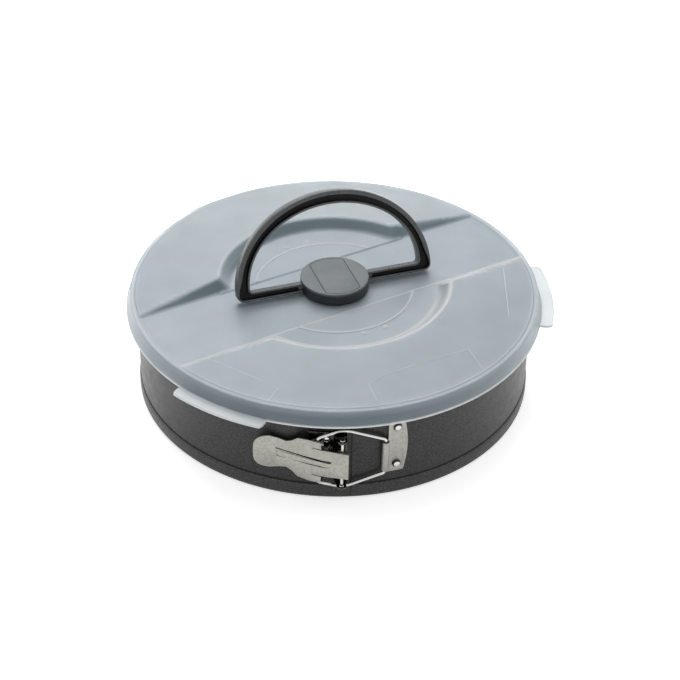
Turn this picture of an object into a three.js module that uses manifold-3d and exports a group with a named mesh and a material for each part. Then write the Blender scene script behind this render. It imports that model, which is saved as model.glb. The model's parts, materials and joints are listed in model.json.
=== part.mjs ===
// Round springform cake pan with a snap-on carrying lid, in millimetres, +Z up.
// The origin is the middle of the flat underside, so the pan stands on z = 0.
// The front, where the latch is, looks towards -Y.
import * as THREE from 'three';
import { mergeVertices } from 'three/addons/utils/BufferGeometryUtils.js';
import Module from 'manifold-3d';

const wasm = await Module();
wasm.setup();

// Sheet steel pan
const panBoreRadius = 130;
const sheet = 0.6;
const panHeight = 69.8;
const rimBeadRadius = 1.6;
const grooveBulge = 0.8;
const grooveTop = 9.6;
const grooveShoulder = 2;
const footReach = 4;
const footRadius = 3;
const workingGap = 0.3;
const roundSteps = 80;
const smallSteps = 12;
const tongueSteps = 14;

// The ring's two ends meet to the right of the latch's pivot
const seamRun = 5.8;
const seamGap = 0.4;
const tongueTip = 7.5;
const tongueJogEnd = 2.5;
const tongueJogStart = 6;
const tongueRoot = 10;
const tongueFootMargin = 2.4;
const tongueHeadMargin = 4.6;

// Lift-out base plate
const baseSheet = 0.8;
const baseFlatInset = 9;
const baseStepWidth = 3;
const baseStepRise = 1.8;
const baseHemHeight = 2;
const baseHemWidth = 2;

// Over-centre latch: everything lies left or right of the pivot, below the middle of the wall
const latchDrop = 3.6;
const bailDrop = 1.5;
const pivotX = 6.5;
const pivotStandOff = 9.2;
const pivotPinRadius = 1.2;
const pinHeadRadius = 1.9;
const pinHeadThick = 0.7;
const bailEarRun = 15;
const bailEarPlay = 0.14;
const catchRun = 26.65;
const wireRadius = 1.1;
const plateThick = 0.9;

// Bracket riveted to the left end
const bracketRunLeft = 20.5;
const bracketRunRight = 2.9;
const bracketMargin = 2.5;
const bracketEarRun = 5.5;
const bracketEarNose = 3;
const bracketRivetRun = 10;
const bracketRivetMargin = 4.6;

// Catch plate riveted to the right end
const catchRise = 0.5;
const catchHalfHeight = 20;
const catchPlateRun = 13.45;
const catchCornerRun = 11.05;
const catchRivetRun = 6.85;
const catchRivetMargin = 5.6;
const catchEdgeShares = [1, 0.97, 0.9, 0.78, 0.6, 0.35, 0.1];
const rollWall = 0.9;
const rollPlay = 0.4;
const rollMargin = 2.1;
const rollSeatShare = 0.6;
const rollStart = -90;
const rollEnd = -385;

// Rivets
const rivetShankRadius = 1.9;
const rivetHeadRadius = 3;
const rivetHeadRise = 1.3;
const rivetTailRadius = 2.7;
const rivetTailThick = 0.7;

// Lever, measured along its face from the pivot end to the grip end
const leverThick = 1;
const leverSpan = 59;
const leverPivotOverhang = 3.9;
const leverFaceRise = 3.4;
const leverPlanShares = [
  [0, 1], [0.166, 0.85], [0.329, 0.643], [0.515, 0.294], [0.617, 0.087],
  [0.719, -0.085], [0.837, -0.167], [1, -0.2]];
const leverEndHalf = 9.7;
const leverWidthShare = 0.571;
const leverNeckHalf = 10.2;
const leverGripHalf = 12.3;
const leverTipHalf = 1;
const leverWideShare = 0.287;
const leverShoulderShare = 0.534;
const leverNeckShare = 0.66;
const leverGripShare = 0.83;
const leverReliefLength = 5.5;
const leverReliefWidth = 0.6;
const ribStartShare = 0.195;
const ribEndShare = 0.765;
const ribTaper = 1.5;
const ribTaperShare = 0.7;
const ribTop = 1.3;
const ribHeight = 4.4;
const ribDepth = 0.35;
const slitWidth = 0.9;
const flangeThick = 0.9;
const earReach = 4.2;
const earNose = 3.4;
const slotBearing = 50;
const earInset = 0.4;
const lugReach = 3;

// Bail wire: its corners clear the lever's ears and then the bracket's
const bailTipDepth = 2.3;
const bailEarMargin = 1.6;
const bailPeakMargin = 3.4;
const bailPeakRunLeft = 2.5;
const bailPeakRunRight = 4;
const bailRunHalf = 13.2;
const bailBend = 1.8;
const wireSteps = 54;

// Moulded lid, sized from the pan's rim
const lidWall = 1.8;
const seatGap = 0.3;
const lidShoulderMargin = 1.7;
const lidShoulderRound = 1.5;
const lidSkirtFlare = 2.6;
const lidSkirtDrop = 8.6;
const rimRingWidth = 5.2;
const lipHeight = 0.9;
const lipStep = 0.3;
const channelFloorDrop = 0.9;
const circleFloorDrop = 0.4;
const channelHalfWidth = 29.8;
const circleStepInset = 1.6;
const channelBearing = 30.5;
const reliefWallSlope = 39;
const crownRise = 5.7;
const wellMargin = 1.8;
const ridgeInset = 17;
const ridgeWidth = 1.4;
const ridgeRise = 0.45;
const pipRadius = 2.6;
const pipRise = 0.6;
const pipRoundStart = 40;
const pipOffset = 4;
const pipBearings = [-54, -70];
const tabBearings = [1.5, 120, -122];
const tabHalfAngle = 15;
const tabCornerAngle = 3;
const tabReach = 8.1;
const tabThick = 1.7;

// Swivelling hub and folding handle
const hubBearing = 19.3;
const hubRadius = 22.6;
const hubCapThick = 1.5;
const hubEdge = 0.7;
const handleAxisHeight = 4.8;
const handleRodRadius = 2.4;
const panelHalfWidth = 12;
const panelMargin = 1.6;
const panelThick = 0.8;
const panelGap = 0.3;
const shankRadius = 9;
const retainerLip = 7;
const retainerThick = 1.6;
const screwInset = 3.5;
const screwCount = 3;
const screwRadius = 1.4;
const screwHeadRadius = 2.6;
const screwHeadThick = 1.4;
const screwDepth = 5;
const handleLean = 18;
const handleHalfSpan = 67.2;
const handleReach = 61.8;
const handleWidth = 8.8;
const handleThick = 6.4;
const barHeight = 5.8;
const handleCorner = 4.5;
const archSteps = 32;
const handleEdge = 0.9;
const grooveLip = 1.9;
const grooveDepth = 2.4;
const barLip = 1.5;

// One overrun serves every cut
const overrun = 2;

const rad = THREE.MathUtils.degToRad;
const outerWall = panBoreRadius + sheet;
const plateInner = outerWall + workingGap;
const plateOuter = plateInner + plateThick;
const wallLow = grooveTop + grooveShoulder;
const wallHigh = panHeight - 2 * rimBeadRadius;
const wallMiddle = (wallLow + wallHigh) / 2;
const tongueFoot = wallLow + tongueFootMargin;
const tongueHead = wallHigh - tongueHeadMargin;
const baseFlatRadius = panBoreRadius - baseFlatInset;

const latchLevel = wallMiddle - latchDrop;
const catchLevel = latchLevel - bailDrop;
const pivotY = -(outerWall + pivotStandOff);
const leverStandOff = pivotStandOff + leverFaceRise;
const leverWideHalf = (wallHigh - wallLow) * leverWidthShare / 2;
const bailEarX = pivotX - bailEarRun;
const bailEarFace = outerWall + leverStandOff * faceShareAt((leverPivotOverhang + bailEarRun) / leverSpan);
const bailEarY = -bailEarFace + leverThick + workingGap + wireRadius + bailEarPlay;
const bracketHalfHeight = leverWideHalf + bracketMargin;
const bracketRivetX = pivotX - bracketRivetRun;
const bracketRivetRise = bracketHalfHeight - bracketRivetMargin;
const catchX = pivotX + catchRun;
const catchRivetX = catchX + catchRivetRun;
const catchMiddle = wallMiddle + catchRise;
const catchRivetRise = catchHalfHeight - catchRivetMargin;
const rollOuter = wireRadius + rollPlay + rollWall;
const catchRadius = plateInner + rollOuter;
const catchBearing = -Math.acos(catchX / catchRadius);
const catchY = catchRadius * Math.sin(catchBearing);

const rimTop = panHeight + seatGap + lidWall;
const lidShoulderRadius = panBoreRadius + 2 * rimBeadRadius + lidShoulderMargin;
const lidSkirtRadius = lidShoulderRadius + lidSkirtFlare;
const lidSkirtFoot = panHeight - lidSkirtDrop;
const rimRingOuter = lidShoulderRadius - lidShoulderRound;
const rimRingInner = rimRingOuter - rimRingWidth;
const tabRadius = lidSkirtRadius + tabReach;
const channelFloor = rimTop - channelFloorDrop;
const circleFloor = rimTop - circleFloorDrop;
const wellRun = (crownRise + circleFloorDrop) / Math.tan(rad(reliefWallSlope));
const wellFloorRadius = handleHalfSpan + wellMargin;
const crownInnerRadius = wellFloorRadius + wellRun;
const ridgeRadius = wellFloorRadius - ridgeInset;
const pipOrbit = ridgeRadius + pipOffset;

const hubFoot = channelFloor + workingGap;
const handleAxis = channelFloor + handleAxisHeight;
const hubTop = handleAxis + handleRodRadius + workingGap + hubCapThick;
const panelReach = hubRadius - panelMargin;
const retainerTop = channelFloor - lidWall - workingGap;
const retainerRadius = shankRadius + retainerLip;
const screwOrbit = shankRadius - screwInset;

// How far the lever's face stands out at a share of its span, as a share of its stand-off
function faceShareAt(along) {
  const next = leverPlanShares.findIndex(([share]) => share > along);
  const [from, near] = leverPlanShares[next - 1];
  const [to, far] = leverPlanShares[next];
  return THREE.MathUtils.mapLinear(along, from, to, near, far);
}

// Solid and mesh conversions
function solidOf(geometry) {
  const bare = geometry.index ? geometry.clone() : geometry;
  bare.deleteAttribute('normal');
  bare.deleteAttribute('uv');
  const merged = mergeVertices(bare, 1e-4);
  return new wasm.Manifold(new wasm.Mesh({
    numProp: 3,
    vertProperties: new Float32Array(merged.attributes.position.array),
    triVerts: new Uint32Array(merged.index.array),
  }));
}

function geometryOf(solid) {
  const mesh = solid.getMesh();
  const geometry = new THREE.BufferGeometry();
  geometry.setAttribute('position', new THREE.BufferAttribute(new Float32Array(mesh.vertProperties), 3));
  geometry.setIndex(new THREE.BufferAttribute(new Uint32Array(mesh.triVerts), 1));
  geometry.computeVertexNormals();
  return geometry;
}

// Revolve a profile of [radius, height] pairs about +Z. It runs up its outer side.
function revolved(profile, steps = roundSteps) {
  const points = profile.map(([radius, height]) => new THREE.Vector2(radius, height));
  const lathe = new THREE.LatheGeometry(points, steps);
  lathe.rotateX(Math.PI / 2);
  return lathe;
}

// Prism of a closed outline, standing from one height to another
function prism(outline, low, high) {
  const shape = new THREE.Shape(outline.map(([x, y]) => new THREE.Vector2(x, y)));
  const geometry = new THREE.ExtrudeGeometry(shape, { depth: high - low, bevelEnabled: false });
  geometry.translate(0, 0, low);
  return geometry;
}

// Points of an arc about a centre, from one angle to another, in degrees
function arc(centreX, centreY, radius, from, to, steps) {
  return Array.from({ length: steps + 1 }, (_, i) => {
    const angle = rad(from + (to - from) * i / steps);
    return [centreX + radius * Math.cos(angle), centreY + radius * Math.sin(angle)];
  });
}

// Loft a closed loop of equal-length sections, each a list of Vector3, and cap both ends.
// The sections turn anticlockwise as seen from the far end of the loft.
function lofted(sections) {
  const count = sections[0].length;
  const positions = sections.flat().flatMap((point) => [point.x, point.y, point.z]);
  const faces = [];
  for (let i = 0; i + 1 < sections.length; i += 1) {
    for (let j = 0; j < count; j += 1) {
      const k = (j + 1) % count;
      const near = i * count;
      const far = near + count;
      faces.push(near + j, near + k, far + k, near + j, far + k, far + j);
    }
  }
  const first = sections[0];
  const along = first[1].clone().sub(first[0]).normalize();
  const normal = new THREE.Vector3();
  for (let j = 0; j < count; j += 1) {
    normal.add(first[j].clone().sub(first[0]).cross(first[(j + 1) % count].clone().sub(first[0])));
  }
  normal.normalize();
  const across = normal.clone().cross(along);
  const flat = first.map((point) => {
    const offset = point.clone().sub(first[0]);
    return new THREE.Vector2(offset.dot(along), offset.dot(across));
  });
  const last = (sections.length - 1) * count;
  for (const [a, b, c] of THREE.ShapeUtils.triangulateShape(flat, [])) {
    faces.push(a, c, b, last + a, last + b, last + c);
  }
  const geometry = new THREE.BufferGeometry();
  geometry.setAttribute('position', new THREE.Float32BufferAttribute(positions, 3));
  geometry.setIndex(faces);
  return geometry;
}

// Bend a profile of [radius, height] pairs round +Z over a range of bearings in radians.
// shiftAt moves the section in or out along the way.
function bentBand(profile, from, to, steps, shiftAt = () => 0) {
  const sections = Array.from({ length: steps + 1 }, (_, i) => {
    const share = i / steps;
    const bearing = from + (to - from) * share;
    const shift = shiftAt(share);
    return profile.map(([radius, height]) => new THREE.Vector3(
      (radius + shift) * Math.cos(bearing), (radius + shift) * Math.sin(bearing), height));
  });
  return lofted(sections.map((section) => section.slice().reverse()));
}

// A round pin or hole that points out of the wall at a place given by x and height
function radialCylinder(radius, inner, outer, x, height, wallRadius) {
  const bearing = -Math.acos(x / wallRadius);
  const cylinder = new THREE.CylinderGeometry(radius, radius, outer - inner, smallSteps);
  cylinder.rotateZ(-Math.PI / 2);
  cylinder.translate((inner + outer) / 2, 0, 0);
  cylinder.rotateZ(bearing);
  cylinder.translate(0, 0, height);
  return cylinder;
}

// Upright round cutter about the origin, a working gap wider than what goes through it
function bored(radius, length, steps = smallSteps) {
  const cylinder = new THREE.CylinderGeometry(radius + workingGap, radius + workingGap, length, steps);
  cylinder.rotateX(Math.PI / 2);
  return solidOf(cylinder);
}

const rivetHole = (x, height) => solidOf(radialCylinder(
  rivetShankRadius + workingGap, panBoreRadius - overrun, plateOuter + overrun, x, height, plateInner));

// Materials
const speckledSteel = new THREE.MeshStandardMaterial({ color: 0x484846, roughness: 0.55, metalness: 0.35 });
const nickelSteel = new THREE.MeshStandardMaterial({ color: 0xaeaca4, roughness: 0.32, metalness: 0.95 });
const frostedPlastic = new THREE.MeshStandardMaterial({
  color: 0xb4c0c8, roughness: 0.45, metalness: 0, transparent: true, opacity: 0.8 });
const greyPlastic = new THREE.MeshStandardMaterial({ color: 0x4a4e50, roughness: 0.5, metalness: 0 });
const darkPlastic = new THREE.MeshStandardMaterial({ color: 0x303437, roughness: 0.5, metalness: 0 });

const pan = new THREE.Group();
pan.name = 'cake_pan_with_lid';

function add(name, geometry, material, parent = pan) {
  const mesh = new THREE.Mesh(geometry, material);
  mesh.name = name;
  parent.add(mesh);
  return mesh;
}

const catchRivetHeights = [catchMiddle - catchRivetRise, catchMiddle + catchRivetRise];
const bracketRivetHeights = [latchLevel - bracketRivetRise, latchLevel + bracketRivetRise];

// The side ring is one strip: a curled foot, the base plate's groove, the wall and a wired rim.
// Its right end runs on as a plain tongue behind the left end.
function sideRing() {
  const foot = panBoreRadius - footReach;
  const bulge = outerWall + grooveBulge;
  const bead = panBoreRadius + rimBeadRadius;
  const beadCentre = panHeight - rimBeadRadius;
  const beadMeet = -THREE.MathUtils.radToDeg(Math.acos((outerWall - bead) / rimBeadRadius));
  const profile = [
    [foot, 0],
    ...arc(bulge - footRadius, footRadius, footRadius, -90, 0, 3),
    [bulge, grooveTop],
    [outerWall, wallLow],
    ...arc(bead, beadCentre, rimBeadRadius, beadMeet, 180, 6),
    [panBoreRadius, wallLow + sheet / 2],
    [bulge - sheet, grooveTop + sheet / 2],
    ...arc(bulge - footRadius, footRadius, footRadius - sheet, 0, -90, 2),
    [foot, sheet],
  ];
  const halfGap = seamGap / 2 / outerWall;
  const seam = -Math.acos((pivotX + seamRun) / outerWall);
  const band = solidOf(bentBand(profile, seam + halfGap, seam + 2 * Math.PI - halfGap, roundSteps));
  const inset = sheet + workingGap;
  const strip = [
    [panBoreRadius, tongueFoot], [outerWall - sheet / 4, tongueFoot],
    [outerWall - sheet / 4, tongueHead], [panBoreRadius, tongueHead]];
  const inward = (share) => {
    const fromSeam = share * (tongueTip + tongueRoot) - tongueTip;
    const jogShare = (tongueJogStart - fromSeam) / (tongueJogStart - tongueJogEnd);
    return -inset * THREE.MathUtils.clamp(jogShare, 0, 1);
  };
  const tongue = solidOf(bentBand(
    strip, seam - tongueTip / panBoreRadius, seam + tongueRoot / panBoreRadius, tongueSteps, inward));
  let ring = band.add(tongue);
  for (const height of catchRivetHeights) ring = ring.subtract(rivetHole(catchRivetX, height));
  for (const height of bracketRivetHeights) ring = ring.subtract(rivetHole(bracketRivetX, height));
  return geometryOf(ring);
}

// The base plate lies flush with the foot, steps up over it and ends in a hem inside the groove.
function basePlate() {
  const grooveInner = outerWall + grooveBulge - sheet;
  const hemOuter = grooveInner - workingGap - sheet;
  const stepOuter = baseFlatRadius + baseStepWidth;
  const shelf = baseStepRise;
  return revolved([
    [0, 0],
    [baseFlatRadius, 0],
    [stepOuter, shelf],
    [hemOuter - baseHemWidth / 2, shelf],
    [hemOuter, shelf + baseHemHeight / 4],
    [hemOuter, shelf + baseHemHeight * 3 / 4],
    [hemOuter - baseHemWidth / 4, shelf + baseHemHeight],
    [hemOuter - baseHemWidth, shelf + baseHemHeight],
    [hemOuter - baseHemWidth - baseSheet, shelf + baseSheet],
    [stepOuter, shelf + baseSheet],
    [baseFlatRadius, baseSheet],
    [0, baseSheet],
  ], roundSteps * 3 / 4);
}

// A rivet has a domed head outside and a flat tail inside.
function rivet(x, height, wallInner) {
  const seat = plateOuter + workingGap;
  const tail = wallInner - workingGap;
  const profile = [
    [0, tail - rivetTailThick],
    [rivetTailRadius, tail - rivetTailThick],
    [rivetTailRadius, tail],
    [rivetShankRadius, tail],
    [rivetShankRadius, seat],
    ...arc(0, 0, 1, 0, 90, 3).map(([x, y]) => [rivetHeadRadius * x, seat + rivetHeadRise * y]),
  ];
  const geometry = revolved(profile, smallSteps);
  geometry.rotateY(Math.PI / 2);
  geometry.rotateZ(-Math.acos(x / plateInner));
  geometry.translate(0, 0, height);
  return geometryOf(solidOf(geometry));
}

// Hole of the pivot pin through two ears
function pinHole(half) {
  const bore = bored(pivotPinRadius, 2 * half + overrun);
  return bore.translate([pivotX, pivotY, latchLevel]);
}

// The bracket is a curved plate whose two ears stand out to hold the pivot pin.
function leverBracket() {
  const bearingAt = (x) => -Math.acos(x / plateInner);
  const plate = [
    [plateInner, latchLevel - bracketHalfHeight], [plateOuter, latchLevel - bracketHalfHeight],
    [plateOuter, latchLevel + bracketHalfHeight], [plateInner, latchLevel + bracketHalfHeight]];
  const left = pivotX - bracketRunLeft;
  const right = pivotX + bracketRunRight;
  let bracket = solidOf(bentBand(plate, bearingAt(left), bearingAt(right), smallSteps));
  const onPlate = (x) => [x, (plateInner + plateThick / 2) * Math.sin(bearingAt(x))];
  const ear = [
    onPlate(pivotX - bracketEarRun),
    ...arc(pivotX, pivotY, bracketEarNose, -172, -8, 8),
    onPlate(right),
  ];
  for (const side of [-1, 1]) {
    const outer = latchLevel + side * bracketHalfHeight;
    const inner = outer - side * plateThick;
    bracket = bracket.add(solidOf(prism(ear, Math.min(inner, outer), Math.max(inner, outer))));
  }
  bracket = bracket.subtract(pinHole(bracketHalfHeight));
  for (const height of bracketRivetHeights) bracket = bracket.subtract(rivetHole(bracketRivetX, height));
  return geometryOf(bracket);
}

// The pivot pin is headed at both ends, just outside the bracket's ears.
function leverPin() {
  const neck = bracketHalfHeight + workingGap;
  const end = neck + pinHeadThick;
  const geometry = revolved([
    [0, -end], [pinHeadRadius, -end], [pinHeadRadius, -neck], [pivotPinRadius, -neck],
    [pivotPinRadius, neck], [pinHeadRadius, neck], [pinHeadRadius, end], [0, end]], smallSteps);
  geometry.translate(pivotX, pivotY, latchLevel);
  return geometryOf(solidOf(geometry));
}

// Plan curve of the lever's outer face. It starts past the pivot pin, runs in towards the
// wall and straightens at the grip, so a finger gets behind it.
const leverPlan = new THREE.SplineCurve(leverPlanShares.map(([along, out]) => new THREE.Vector2(
  pivotX + leverPivotOverhang - along * leverSpan, -outerWall - out * leverStandOff)));

// A strip that follows the lever's face, from low to high, as deep as asked
function leverStrip(stations, depthOut, depthIn) {
  const length = leverPlan.getLength();
  return lofted(stations.map(([travel, low, high]) => {
    const share = THREE.MathUtils.clamp(travel / length, 0, 1);
    const point = leverPlan.getPointAt(share);
    const tangent = leverPlan.getTangentAt(share);
    const inwardX = tangent.y;
    const inwardY = -tangent.x;
    const corner = (depth, height) => new THREE.Vector3(
      point.x + inwardX * depth, point.y + inwardY * depth, latchLevel + height);
    return [corner(depthIn, low), corner(-depthOut, low), corner(-depthOut, high), corner(depthIn, high)];
  }));
}

function latchLever() {
  const length = leverPlan.getLength();
  const wideStart = length * leverWideShare;
  const shoulder = length * leverShoulderShare;
  const neck = length * leverNeckShare;
  const grip = length * leverGripShare;
  const outline = [
    [0, leverEndHalf],
    [wideStart - leverThick / 2, leverNeckHalf],
    [wideStart, leverWideHalf],
    [(wideStart + shoulder) / 2, leverWideHalf + leverThick / 4],
    [shoulder, leverWideHalf - leverThick / 2],
    [(shoulder + neck) / 2, (leverWideHalf + leverNeckHalf) / 2 - leverThick],
    [neck, leverNeckHalf],
    [(neck + grip) / 2, (leverNeckHalf + leverGripHalf) / 2],
    ...arc(0, 0, 1, 90, 8, 8).map(([x, y]) => [grip + (length - grip) * x, leverGripHalf * y]),
    [length, leverTipHalf],
  ];
  let lever = solidOf(leverStrip(outline.map(([travel, half]) => [travel, -half, half]), 0, leverThick));

  const ribStart = length * ribStartShare;
  const ribEnd = length * ribEndShare;
  const middle = (ribStart + ribEnd) / 2;
  const groove = [
    [ribStart, ribTaperShare], [ribStart + ribTaper, 1], [middle, 1],
    [ribEnd - ribTaper, 1], [ribEnd, ribTaperShare],
  ].map(([travel, share]) => [
    travel, ribTop - ribHeight * (1 + share) / 2, ribTop - ribHeight * (1 - share) / 2]);
  lever = lever.subtract(solidOf(leverStrip(groove, overrun, ribDepth)));
  for (const side of [-1, 1]) {
    const edge = side * (leverNeckHalf + leverReliefWidth / 2);
    const relief = [wideStart - overrun, wideStart + leverReliefLength].map((travel) => [
      travel, edge - leverReliefWidth / 2, edge + leverReliefWidth / 2]);
    lever = lever.subtract(solidOf(leverStrip(relief, overrun, leverThick + overrun)));
  }
  const slit = [[ribStart, slitWidth], [middle, slitWidth * 3 / 4], [ribEnd, slitWidth / 3]].map(
    ([travel, width]) => [travel, ribTop - width, ribTop]);
  lever = lever.subtract(solidOf(leverStrip(slit, overrun, leverThick + overrun)));

  const stations = Array.from({ length: smallSteps + 1 }, (_, i) => length * i / smallSteps);
  const behindFace = solidOf(leverStrip(
    stations.map((travel) => [travel, -leverWideHalf, leverWideHalf]), 0, leverStandOff));
  const slotHalf = wireRadius + workingGap;
  const earDepth = bailEarY + slotHalf + flangeThick;
  for (const side of [-1, 1]) {
    const flange = (shape, half) => {
      const outer = latchLevel + side * (half - earInset);
      const inner = outer - side * flangeThick;
      return solidOf(prism(shape, Math.min(outer, inner), Math.max(outer, inner))).intersect(behindFace);
    };
    const earLeft = bailEarX - earReach;
    const earRight = bailEarX + earNose;
    const ear = [
      [earLeft, bailEarY - leverStandOff], [earRight, bailEarY - leverStandOff],
      [earRight, earDepth], [earLeft + slotHalf, earDepth], [earLeft, earDepth - slotHalf]];
    const slotEndX = bailEarX + leverStandOff * Math.cos(rad(slotBearing));
    const slotEndY = bailEarY + leverStandOff * Math.sin(rad(slotBearing));
    const slot = prism([
      ...arc(bailEarX, bailEarY, slotHalf, slotBearing + 90, slotBearing + 270, 8),
      ...arc(slotEndX, slotEndY, slotHalf, slotBearing - 90, slotBearing + 90, 2)],
    latchLevel - leverWideHalf, latchLevel + leverWideHalf);
    const lug = [
      [pivotX - lugReach, pivotY - leverStandOff], [pivotX + lugReach, pivotY - leverStandOff],
      ...arc(pivotX, pivotY, lugReach, 0, 180, 8)];
    lever = lever.add(flange(ear, leverWideHalf).subtract(solidOf(slot))).add(flange(lug, leverEndHalf));
  }
  return geometryOf(lever.subtract(pinHole(leverEndHalf)));
}

// The bail is one wire. Its straight run turns in the catch roll, its arms widen round the
// bracket, and its two tips hook into the lever's ears.
function tensionBail() {
  const lengthwise = catchX - bailEarX;
  const tipHalf = leverWideHalf - bailTipDepth;
  const earHalf = leverWideHalf + bailEarMargin;
  const peakHalf = bracketHalfHeight + bailPeakMargin;
  const peakStart = pivotX - bailPeakRunLeft;
  const peakEnd = pivotX + bailPeakRunRight;
  const at = (x, half, side) => {
    const share = (x - bailEarX) / lengthwise;
    const level = latchLevel + (catchLevel - latchLevel) * share;
    return new THREE.Vector3(x, bailEarY + (catchY - bailEarY) * share, level + side * half);
  };
  const halves = [
    [bailEarX, tipHalf], [bailEarX, earHalf], [peakStart, peakHalf], [peakEnd, peakHalf],
    [catchX, bailRunHalf]];
  const corners = [
    ...halves.map(([x, half]) => at(x, half, 1)),
    ...halves.reverse().map(([x, half]) => at(x, half, -1))];
  const path = new THREE.CurvePath();
  let here = corners[0];
  for (let i = 1; i + 1 < corners.length; i += 1) {
    const corner = corners[i];
    const room = Math.min(corner.distanceTo(corners[i - 1]), corner.distanceTo(corners[i + 1])) / 2;
    const bend = Math.min(bailBend, room);
    const before = corner.clone().add(corners[i - 1].clone().sub(corner).setLength(bend));
    const after = corner.clone().add(corners[i + 1].clone().sub(corner).setLength(bend));
    path.add(new THREE.LineCurve3(here, before));
    path.add(new THREE.QuadraticBezierCurve3(before, corner, after));
    here = after;
  }
  path.add(new THREE.LineCurve3(here, corners[corners.length - 1]));
  const round = arc(0, 0, wireRadius, 0, 315, 7).map(([x, y]) => new THREE.Vector2(x, y));
  const section = new THREE.Shape(round);
  const geometry = new THREE.ExtrudeGeometry(section, {
    steps: wireSteps, extrudePath: path, bevelEnabled: false });
  return geometryOf(solidOf(geometry));
}

// The catch plate carries the bail in a rolled knuckle along its left edge.
function catchPlate() {
  const bearingAt = (x) => -Math.acos(x / plateInner);
  const right = catchX + catchPlateRun;
  const bow = catchPlateRun - catchCornerRun;
  const straight = [[catchX + rollOuter * rollSeatShare, 1], [catchX + catchCornerRun / 2, 1]];
  const curved = catchEdgeShares.map((share) => [right - bow * share * share, share]);
  const sections = [...straight, ...curved].map(([x, share]) => {
    const bearing = bearingAt(x);
    const low = catchMiddle - catchHalfHeight * share;
    const high = catchMiddle + catchHalfHeight * share;
    return [[plateInner, high], [plateOuter, high], [plateOuter, low], [plateInner, low]].map(
      ([radius, height]) => new THREE.Vector3(radius * Math.cos(bearing), radius * Math.sin(bearing), height));
  });
  let plate = solidOf(lofted(sections));
  const rollInner = rollOuter - rollWall;
  const across = (t, n) => [
    catchX + n * Math.cos(catchBearing) - t * Math.sin(catchBearing),
    catchY + n * Math.sin(catchBearing) + t * Math.cos(catchBearing)];
  const roll = [
    ...arc(0, 0, rollInner, rollEnd, rollStart, 16),
    [rollOuter, -rollInner],
    [rollOuter, -rollOuter + rollWall / 3],
    ...arc(0, 0, rollOuter, rollStart, rollEnd, 16),
  ].map(([t, n]) => across(t, n));
  const rollHalf = bailRunHalf - rollMargin;
  plate = plate.add(solidOf(prism(roll, catchLevel - rollHalf, catchLevel + rollHalf)));
  for (const height of catchRivetHeights) plate = plate.subtract(rivetHole(catchRivetX, height));
  return geometryOf(plate);
}

// Raised halves of the lid: a shallow cone cut by the handle's round well and by the channel
// across the lid. drop lowers the whole form by the wall to give its underside.
function lidRelief(drop) {
  const low = panHeight - rimBeadRadius - drop;
  const slope = crownRise / (rimRingInner - crownInnerRadius);
  const wellTop = rimTop + crownRise;
  const coneEnd = rimRingInner + lidWall;
  const coneAt = (radius) => rimTop + (rimRingInner - radius) * slope - drop;
  const coneStart = crownInnerRadius - overrun;
  const cone = solidOf(revolved([
    [0, low], [coneEnd, low], [coneEnd, coneAt(coneEnd)],
    [coneStart, coneAt(coneStart)], [0, coneAt(coneStart)]]));
  const cotangent = 1 / Math.tan(rad(reliefWallSlope));
  const rise = wellTop + crownRise + overrun - circleFloor;
  const well = solidOf(revolved([
    [0, circleFloor - drop],
    [wellFloorRadius, circleFloor - drop],
    [wellFloorRadius + rise * cotangent, circleFloor + rise - drop],
    [0, circleFloor + rise - drop]]));
  const channel = (half) => {
    const top = channelFloor + rise;
    const spread = half + rise * cotangent;
    const outline = [[-half, channelFloor], [half, channelFloor], [spread, top], [-spread, top]];
    const geometry = prism(outline, -lidSkirtRadius, lidSkirtRadius);
    geometry.rotateX(Math.PI / 2);
    geometry.rotateZ(rad(channelBearing + 90));
    geometry.translate(0, 0, -drop);
    return solidOf(geometry);
  };
  const ridge = solidOf(revolved([
    [ridgeRadius - ridgeWidth / 2, circleFloor - drop - lidWall / 4],
    [ridgeRadius + ridgeWidth / 2, circleFloor - drop - lidWall / 4],
    [ridgeRadius + ridgeWidth / 2, circleFloor - drop],
    [ridgeRadius, circleFloor - drop + ridgeRise],
    [ridgeRadius - ridgeWidth / 2, circleFloor - drop],
    [ridgeRadius - ridgeWidth / 2, circleFloor - drop - lidWall / 4]]));
  const raised = cone.subtract(well).subtract(channel(channelHalfWidth));
  let segments = solidOf(revolved([
    [0, low], [wellFloorRadius + ridgeWidth, low],
    [wellFloorRadius + ridgeWidth, circleFloor - drop], [0, circleFloor - drop]]));
  if (drop === 0) {
    segments = segments.add(ridge);
    for (const bearing of pipBearings) {
      segments = segments.add(pip(bearing)).add(pip(bearing + 180));
    }
  }
  return raised.add(segments.subtract(channel(channelHalfWidth - circleStepInset)));
}

// Small raised dot on the round well's floor
function pip(bearing) {
  return solidOf(revolved([
    [0, -lidWall / 4], [pipRadius, -lidWall / 4], [pipRadius, 0],
    ...arc(0, 0, 1, pipRoundStart, 90, 1).map(([x, y]) => [pipRadius * x, pipRise * y])], smallSteps))
    .translate([pipOrbit * Math.cos(rad(bearing)), pipOrbit * Math.sin(rad(bearing)), circleFloor]);
}

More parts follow.
